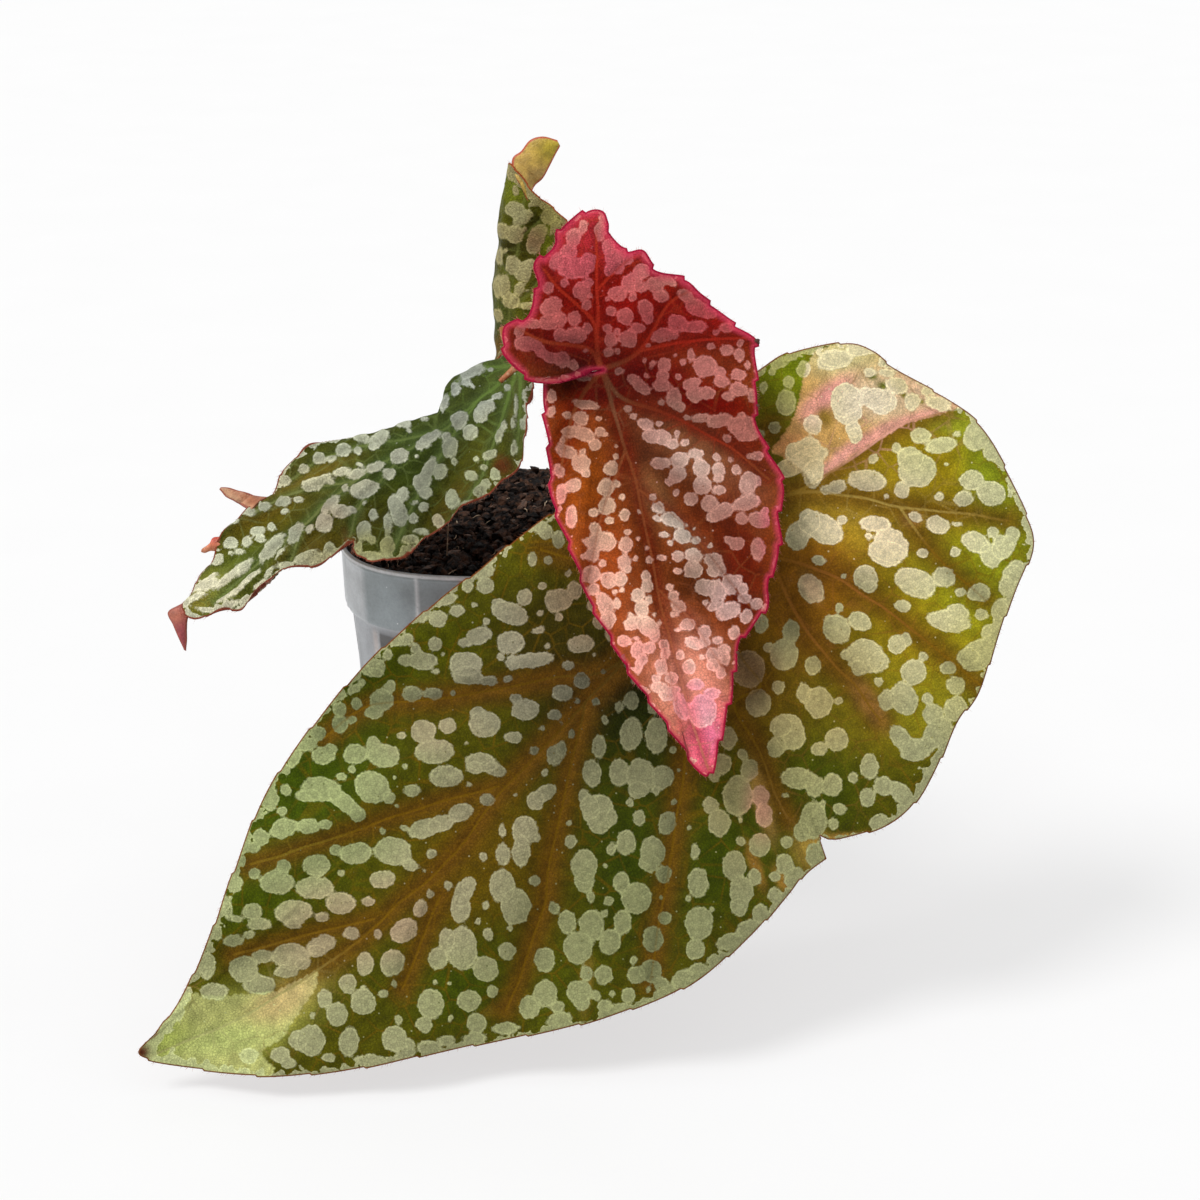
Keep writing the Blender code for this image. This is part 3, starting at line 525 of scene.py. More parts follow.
        (896, 645, 9, 10), (913.3, 672, 13, 13), (923, 656.4, 5, 5), (903.6, 699, 13, 17, -20),
        (926.8, 699, 6, 6), (932.6, 714.4, 10, 11, -30), (878.5, 681.6, 5, 5),
        (783.8, 655, 14, 16), (791.5, 631.3, 9, 12), (761, 624, 7, 10), (812.8, 666, 8, 10),
        (778, 687.4, 6.5, 7), (748, 669, 17, 19), (767.6, 647.4, 5, 5), (758, 703, 13, 14),
        (803, 693, 7, 11), (818.6, 702.8, 14, 16), (838.7, 701, 4.5, 4),
        (789.6, 731.8, 15, 19, -20), (780, 726, 11, 10), (776, 747, 9, 11, 20),
        (836, 739.6, 12, 12), (818.6, 749, 8, 7), (869, 766.6, 9, 13), (882.4, 786, 9, 10),
        (867, 797.6, 8, 10), (901.7, 739.6, 9, 17, -40), (913.3, 753, 14, 7), (926.8, 743.4, 8, 6),
        (955.9, 685.4, 10, 9), (967.5, 656.4, 11, 8), (954, 704.8, 7, 6), (1006, 587, 8, 9),
        (1004, 608, 9, 10), (1015.8, 567.5, 8, 7), (986.7, 631.3, 5, 5), (901.7, 795, 9, 16, -40),
        (878.5, 822, 10, 8, -20),
    ],
    "leaf_red": [
        (573, 238, 8, 9), (583, 228, 5, 8, 20), (600, 232, 6, 9), (603, 219, 5, 5),
        (556, 262, 7, 9, 20), (566, 262, 8, 6), (626, 257, 7, 9, -20), (640, 288, 6, 5),
        (668, 280, 10, 5, 30), (686, 296, 9, 6, 30), (548, 288, 6, 6), (528, 323, 8, 5),
        (519, 331, 5, 6), (731, 318, 6, 5, 30), (648, 256, 6, 5, 20), (568.8, 251.7, 9, 7),
        (576.2, 269, 18, 10, -5), (588.5, 261.5, 8, 9), (614.4, 261.5, 9, 14, -25),
        (608.3, 246.7, 7, 7), (594.2, 257, 2.5, 2.5), (608.3, 270, 5, 6), (581.6, 291, 9, 9),
        (588.5, 282.5, 6, 5), (565, 283, 5, 4), (586.6, 305.4, 5.5, 5), (591, 296.8, 3, 2.5),
        (617, 294, 9, 8), (631.7, 283, 11, 10), (633, 298, 4.5, 4.5), (645.3, 308.4, 8, 9),
        (647.7, 318.3, 6, 5), (611.2, 311.4, 5.5, 5.5), (625.5, 317, 9, 9), (607, 299.8, 2.5, 2.5),
        (655, 285, 10, 8), (661.3, 296, 8, 6), (641.6, 271.4, 8, 8), (551.5, 306, 12, 9, -35),
        (574.5, 318.3, 7, 8), (560.7, 319.5, 5.5, 7.5), (549, 322, 9, 8), (535.5, 324.4, 6, 5),
        (560, 334.8, 7, 6.5), (575, 335.5, 12, 8), (587.3, 328, 5, 6), (607, 328.6, 5, 5),
        (617, 331.8, 3, 3), (637.9, 328, 8, 5), (610.7, 339.7, 7, 7), (628, 339, 10, 9),
        (608.3, 351.6, 5, 4.5), (618, 351.6, 3.5, 3.5), (677.3, 323.2, 11, 8, 30),
        (694.6, 326.9, 13, 6), (662.5, 335, 12, 7, -15), (673.6, 335.5, 6, 4),
        (697, 308.4, 12, 9, 25), (709.4, 313.3, 8, 6), (726.7, 328, 8, 5), (716, 332.3, 3, 2.5),
        (525.6, 344, 12, 8), (539.2, 349, 6, 10, -30), (550.3, 357.7, 12, 6, 20),
        (562.6, 360, 7, 9), (573.7, 365, 5.5, 5), (586, 350, 3.5, 2), (583.6, 378, 8, 3),
        (619.4, 370.8, 5, 4), (648.5, 345.4, 3, 2.5), (644.8, 360, 2.5, 3), (652, 365, 2.5, 5, 20),
        (663.8, 365, 7, 7), (662.5, 376, 6, 6), (646.5, 376, 2.5, 2.5), (633, 378.7, 6, 5),
        (641.6, 387.3, 10, 6, 35), (661.3, 386, 9, 6), (674.9, 355.3, 2, 2.5),
        (682.8, 362.7, 3.5, 4), (678, 377.5, 3.5, 3.5), (673.6, 398.4, 8, 10), (679.8, 407, 6, 5),
        (661.3, 402.6, 3, 3.5), (690.9, 355.3, 4, 7), (704.5, 366.4, 12, 11), (719.3, 373.8, 6, 6),
        (721.7, 382.4, 8, 6), (710.6, 346.6, 4.5, 4), (726.2, 350.3, 7, 6), (739, 355.3, 5, 7),
        (740, 343, 4, 4), (692, 383.6, 10, 6, -20), (694.6, 394.7, 8, 8), (707, 393.5, 8, 7),
        (737.8, 375, 8, 6), (739, 389.8, 9, 7), (727.9, 397, 6, 5), (747.6, 365, 3, 4),
        (752.6, 396, 5, 7), (686.7, 417, 3, 3), (700.8, 418, 10, 5), (719.3, 420.6, 12, 7, -20),
        (742, 414.5, 3.5, 3), (746.4, 429.3, 15, 13), (736.5, 425.6, 9, 8), (726.7, 438.4, 4.5, 4),
        (757.5, 456.4, 7, 5), (750, 456.4, 4, 3),
        # Right of the midrib
        (628, 409, 4, 3), (633, 416.2, 4.5, 3.5), (645.3, 424.3, 8, 6, 15), (659.6, 423.6, 3.5, 3),
        (650.2, 436.7, 9, 7), (662.5, 438, 9, 8, 30), (672.4, 444, 6, 5), (676.6, 434.2, 3, 4),
        (685.2, 442.8, 4.5, 4), (660, 463.8, 10, 6), (679.8, 460, 9, 8), (696.3, 454, 8, 6),
        (700.8, 468.7, 9, 9), (718.5, 470, 6.5, 7), (718, 478.6, 5, 4), (716.8, 457.6, 4, 4),
        (731, 459, 2.5, 3), (736, 469.5, 5, 5.5), (677.3, 475, 9, 8, -20), (668.7, 482.3, 5, 4),
        (702, 486, 10, 9), (719.3, 490.4, 7, 5), (747.6, 483.5, 9, 12), (757.5, 481, 4, 5),
        (690.4, 499.6, 7, 7), (709.4, 503.8, 9, 8), (676, 493, 3.5, 3.5), (721.7, 512, 12, 8, -20),
        (711.9, 518, 6, 5), (746.4, 503, 14, 8, -15), (741.5, 519.3, 6, 6),
        (758.7, 520.5, 11, 8, 20), (765, 510.7, 4.5, 4), (736.5, 544, 7.5, 7),
        (727.9, 540.3, 4.5, 4), (757.5, 550, 7, 12), (653.2, 496.6, 4, 3.5), (658, 507.5, 7, 5.5),
        (657, 518.8, 4, 3), (671, 519.5, 10, 7, 20), (677.7, 523.4, 6, 5), (682, 536, 9, 8, 10),
        (696.3, 540.3, 4.5, 4), (663.8, 535, 5, 3.5), (669.9, 543, 3, 3), (686.4, 525, 1.5, 1),
        (693.8, 529.2, 2, 1.5), (710, 545.7, 3, 3), (662, 557.5, 4.5, 3), (677.7, 556.4, 6, 5.5),
        (693.2, 555.4, 9, 7, 20), (693.2, 569.9, 9.5, 9), (712.9, 559.5, 9, 7),
        (720, 568.8, 6, 8, -30), (712.9, 571, 6, 6), (730.4, 582.3, 8, 8), (737.6, 578, 5, 4),
        (731.4, 591.6, 5, 4), (677, 571, 4, 3.5), (704.6, 587.4, 11, 8), (717, 591.6, 9, 12),
        (711.8, 608, 5, 4), (717, 603, 6, 6), (705.2, 602.3, 3, 3), (728.3, 611.2, 13, 9, -30),
        (742.8, 588.5, 5.5, 6), (744.9, 598.2, 7, 5), (745.9, 616.4, 6, 8, 30), (757.3, 604, 6, 6),
        (669.5, 587.4, 4, 3.5), (673.6, 595.7, 6, 4.5), (678.8, 606, 8, 6, 30),
        (674.6, 614.3, 4, 3), (688, 624.6, 8, 7), (704.6, 631.9, 7, 7), (693.2, 643.2, 10, 6, 25),
        (704.6, 642.2, 6, 5), (677.3, 629.8, 3.5, 2), (717.6, 640.3, 5, 4), (679.8, 654.6, 4, 5),
        (689, 667, 7, 7.5), (712.4, 655.6, 7, 8), (712.9, 665, 7, 6), (724.2, 649.4, 6, 5),
        (725.2, 658.7, 5, 7), (721, 673.2, 5.5, 6), (700.9, 656.7, 2.5, 2.5), (733.5, 632.9, 6, 7),
        (695.3, 684.5, 9, 6), (711.8, 693.8, 8, 6), (702.5, 711.4, 14, 17),
        # Left of the midrib
        (551.5, 396, 5, 7), (551.5, 412, 4, 6), (586, 404.6, 13, 5, 10), (566.8, 415.2, 5, 4),
        (581, 418.2, 8, 7), (598.4, 418.2, 3.5, 3), (568.8, 431.7, 8, 6),
        (583.6, 434.2, 12, 7, 25), (594.7, 445.3, 6, 6), (599.6, 431.7, 5, 5),
        (605.8, 435.4, 3, 2), (562.6, 439.9, 3, 3), (566.3, 451.5, 12, 7, 25), (581, 463.8, 9, 9),
        (586, 473.7, 5, 4), (583, 451.5, 3.5, 3.5), (616.2, 457, 3.5, 3.5),
        (611.2, 468.7, 7.5, 7.5), (615.7, 446.5, 2, 2), (559, 471, 5, 8, -20),
        (572.5, 486, 9, 7, -20), (561, 494.5, 5, 10), (605.8, 487.2, 8, 9), (617, 483.5, 4, 4),
        (607, 505.7, 9, 9), (593.5, 512.6, 5, 4.5), (609.5, 521, 4, 3.5), (624.3, 515, 6, 6.5),
        (622.3, 497.8, 3.5, 3), (639.5, 512, 2.5, 2.5), (571.3, 517, 6, 12), (595, 528.6, 6, 6.5),
        (598.2, 541, 13, 9, -15), (585.8, 542, 4, 3), (607.5, 542, 8, 9), (625.5, 545, 7.5, 8),
        (627.5, 531.7, 4, 3.5), (638, 538.3, 2.5, 2.5), (592, 554.8, 7, 7.5), (583.7, 556.4, 3, 3),
        (602.7, 563.7, 4, 4.5), (624, 562.6, 7, 8.5), (628, 569.9, 4, 4), (635.4, 559, 3, 3),
        (646.7, 548, 2, 2.5), (649.4, 560.2, 4, 4), (592, 574, 9, 9), (584.8, 577, 4, 5),
        (608.5, 580.2, 8, 8.5), (619.9, 579.2, 7, 7), (645.7, 576, 5, 5), (647.4, 586.4, 6, 7),
        (637.4, 595.7, 7.5, 7), (641.6, 609, 7, 8), (648.8, 600.5, 3.5, 4), (594, 589.5, 5.5, 6),
        (604.4, 604, 8, 12, -25), (616.8, 604, 4, 6), (585.8, 591.6, 4, 5),
        (614.3, 592.6, 2.5, 2.5), (621.5, 590.5, 2.5, 3), (607.5, 620.5, 8, 9),
        (633.3, 623.6, 10, 7), (647.8, 626.7, 12, 9, 40), (655, 636, 5, 6), (630.2, 615.3, 3, 3),
        (654, 614.3, 2.5, 2), (659, 622.6, 2, 2.5), (624, 641, 7, 6), (637.4, 650.5, 7, 9),
        (642.6, 659.8, 5, 6), (649.4, 647.8, 6.5, 6.5), (636.4, 639, 2.5, 2), (664.3, 645.3, 5, 6),
        (665.3, 653.6, 5, 6), (661.2, 667, 7, 8), (671.5, 678.3, 7, 6), (656, 679.4, 5, 4.5),
        (638.5, 666, 4, 9), (658, 687.6, 8, 5), (666.4, 693.8, 8, 8), (675.7, 690.7, 5, 5),
        (681.9, 707.3, 8, 14, -20),
    ],
    "leaf_left": [
        (490.7, 370, 3, 3), (472, 372.7, 14, 6, -25), (467.2, 383.3, 5, 5), (456, 390, 5.5, 8),
        (473.3, 387.3, 1.5, 2), (445.3, 404.7, 4, 10, 10), (508, 387.3, 3.5, 3.5),
        (515, 373.5, 1, 1.5), (497.3, 396.7, 6, 3, -30), (486.7, 408.7, 10, 7, -25),
        (481.3, 416.7, 7, 8), (460, 420.7, 8, 11, 30), (471.5, 434, 8, 8), (451.2, 448.7, 9, 11),
        (446.7, 436.7, 4, 5), (430.7, 438, 12, 6, -30), (422.7, 446, 8, 6),
        (400, 456.7, 10, 8, -20), (389.9, 474.5, 7, 6), (417.9, 457.5, 2.5, 2), (456, 464, 3.5, 4),
        (441.3, 473.2, 7.5, 8.5), (429.3, 470, 6, 14, 25), (422.7, 483.3, 9, 9),
        (426.7, 494, 8, 6), (404, 495.3, 6, 7, 25), (414.7, 502.8, 3.5, 2.5), (424.8, 509, 5, 5.5),
        (414.7, 519.3, 5, 5), (398.7, 510, 8, 14, -20), (401, 520.7, 7, 7), (388.8, 526, 4, 11),
        (388, 547.3, 7, 10), (365.3, 532.7, 8, 10), (373.3, 542, 4, 4), (374.7, 516.7, 5, 6),
        (364.8, 503.3, 2.5, 2), (365.3, 490, 15, 9, -15), (345.3, 488.7, 3.5, 4),
        (330.7, 504.7, 12, 6, -45), (341.3, 512.7, 9, 7), (353.3, 510, 4, 3.5),
        (325.3, 524.7, 9, 10), (310.7, 530, 4, 5), (296, 534, 6, 12, 30), (272, 549, 6, 19, 40),
        (284, 502.5, 8, 6), (299.2, 500.7, 5, 3.5), (312, 486, 10, 6), (321, 480.7, 12, 4, -20),
        (320, 459.3, 7, 6), (304, 470, 6, 5, -30), (332, 459.3, 5, 4), (344, 450.8, 8, 7, -20),
        (358, 451.3, 4, 5), (361.9, 438.5, 8, 5), (374.7, 444.7, 6, 7), (381.3, 438, 10, 6, -30),
        (404, 424.7, 8, 4.5), (410, 431.9, 2.5, 2), (425.3, 420.7, 4, 2), (360.5, 465.5, 4, 2),
        (342.7, 473.2, 9, 4, -15), (376, 467.3, 10, 5, -20), (357, 475, 9, 4, -20),
        (331.5, 482.5, 3.5, 2.5), (282.7, 480.7, 8, 6), (265.3, 507.3, 7, 5), (250.7, 512.7, 6, 5),
        (237.3, 522, 3.5, 4), (287, 513.5, 4, 2.5), (273.3, 528.7, 4, 4), (259, 533, 8, 4.6, -15),
        (262, 540.5, 5.5, 3.6), (248.5, 543.5, 4.5, 5.5, 20), (232, 545, 8, 6), (233, 556, 2.5, 2),
        (241.9, 553.5, 5, 3), (218.5, 561, 6.5, 6.5), (306.7, 558, 14, 6, -20),
        (325.3, 560.7, 12, 6, -10), (330.7, 551.3, 6, 8), (286.7, 567.3, 7, 5),
        (453.3, 500.7, 7, 9), (472, 476.7, 7, 5), (484, 468, 3.5, 3), (490.7, 455.3, 8, 5, -15),
        (477.3, 460.7, 2.5, 3), (500, 435.3, 5, 9, 20), (504.5, 426, 3.5, 5), (516, 406, 2, 12),
        (524, 395, 2.5, 5), (513.3, 424.7, 2, 5), (523.2, 424.7, 4, 6), (514.7, 448.7, 3, 8),
        (480, 491.3, 7, 6), (486.7, 484.7, 5, 5), (496, 475.3, 5, 6), (468, 504.7, 7, 5),
        (438.7, 522, 6, 6), (410.7, 540.7, 9, 5), (421.3, 532.7, 7, 3), (370.7, 556.7, 14, 4),
        (360, 547.3, 4, 5), (205, 587, 15, 5.2, -20), (227, 581, 13, 3.6, -38),
        (246, 567, 11, 3.8, -48), (252, 578, 12, 3, -38), (238, 592, 9, 3.2, -42),
        (199, 598, 8, 2.6, -20), (223, 599, 9, 2.6, -30), (262, 585, 9, 2.8, -36),
        (232, 605, 10, 3, -15), (209, 611, 12, 3, 8), (188, 604, 6, 4, -30),
        (271, 573, 8, 2.4, -50), (234, 573, 9, 2.2, -42), (213, 579, 7, 2.4, -30),
        (281, 554, 7, 2.2, -50),
    ],
    "leaf_top": [
        (516.5, 190.3, 3, 5), (515.6, 209.2, 9, 8), (521, 218.2, 8, 7), (528.2, 213.7, 6, 5),
        (531, 204.3, 2, 2), (504.8, 230.8, 6, 8), (515.6, 234.4, 8, 10), (538, 236, 8, 9, -30),
        (533.6, 245, 7, 9), (540.8, 230, 6, 6), (525.5, 229.4, 2, 2), (548, 216.4, 7, 8),
        (556, 225.4, 5, 7), (550.7, 231.7, 1.5, 2.5), (506.6, 251, 2, 2.5), (500.3, 256, 3.5, 10),
        (513.8, 265, 7, 10), (524.6, 272.2, 8, 10), (531, 264, 6, 5), (505.7, 286.6, 5, 12),
        (499.4, 286.6, 4, 12), (512, 301, 8, 8), (520, 288.4, 5, 6.5), (528.2, 290.7, 1.5, 2),
        (536.3, 296.5, 4, 5), (530, 305.5, 10, 4), (499.4, 315.4, 4, 7), (513, 173, 5, 8),
    ],
}

# Veins, as lines of picture points; the hidden ones are guesses. Each leaf's first
# line starts at its stalk.
VEINS = {
    "leaf_front": [
        [(700, 545), (624, 660), (585, 702), (542, 749), (498, 796), (464, 842), (430, 879),
         (395, 907), (356, 943), (319, 969), (246, 1015), (138, 1061)],
        [(700, 545), (622, 660), (552, 678), (452, 697), (373, 705), (324, 738)],
        [(498, 787), (400, 815), (292, 852), (250, 865)],
        [(374, 918), (292, 939), (234, 955)],
        [(439, 897), (413, 964), (402, 989)],
        [(585, 702), (551, 861), (544, 907), (521, 975), (505, 1010)],
        [(700, 545), (739, 652), (761, 686), (735, 705), (758, 749), (774, 788), (789, 819)],
        [(700, 545), (785, 497), (850, 495), (900, 508), (960, 512), (1010, 520)],
        [(700, 545), (778, 558), (860, 591), (1000, 700)],
        [(774, 567), (802, 621), (834, 665), (858, 689), (880, 720)],
        [(700, 545), (740, 465), (770, 430)],
        [(785, 497), (812, 485), (868, 446), (905, 424), (942, 413)],
        [(700, 545), (640, 560), (580, 560), (540, 550)],
        [(700, 545), (690, 720), (672, 850), (650, 980)],
        [(900, 508), (940, 560), (985, 600)],
    ],
    "leaf_red": [
        [(603, 370), (612, 400), (620, 430), (632, 470), (640, 500), (660, 600), (680, 680),
         (710, 776)],
        [(603, 370), (620, 395), (660, 412), (700, 430), (740, 455), (770, 480)],
        [(603, 370), (597, 340), (597, 300), (597, 230)],
        [(597, 340), (590, 318), (560, 290), (545, 270)],
        [(603, 370), (590, 350), (540, 340), (510, 325)],
        [(603, 370), (640, 350), (668, 305), (690, 290)],
        [(640, 350), (700, 340), (755, 338)],
        [(640, 490), (690, 530), (735, 590), (755, 610)],
        [(625, 450), (600, 520), (585, 590)],
        [(660, 590), (690, 620), (725, 670)],
        [(603, 370), (575, 410), (560, 470)],
        [(597, 290), (625, 262), (640, 255)],
    ],
    "leaf_left": [
        [(521, 363), (478, 400), (440, 432), (355, 480), (280, 545), (215, 600)],
        [(521, 363), (470, 372), (446, 400)],
        [(521, 363), (505, 400), (495, 440), (480, 480), (450, 525)],
        [(478, 400), (440, 455), (415, 500), (392, 550)],
        [(440, 432), (395, 440), (330, 455), (290, 480)],
        [(400, 460), (360, 505), (350, 537)],
        [(355, 480), (300, 490), (255, 512)],
        [(521, 363), (519, 400), (516, 450)],
        [(300, 530), (290, 560)],
    ],
    "leaf_top": [
        [(502, 354), (508, 310), (514, 270), (520, 230), (523, 190), (516, 165)],
        [(508, 310), (530, 290), (548, 270)],
        [(512, 280), (500, 262), (496, 240)],
        [(518, 240), (545, 215), (555, 205)],
    ],
}
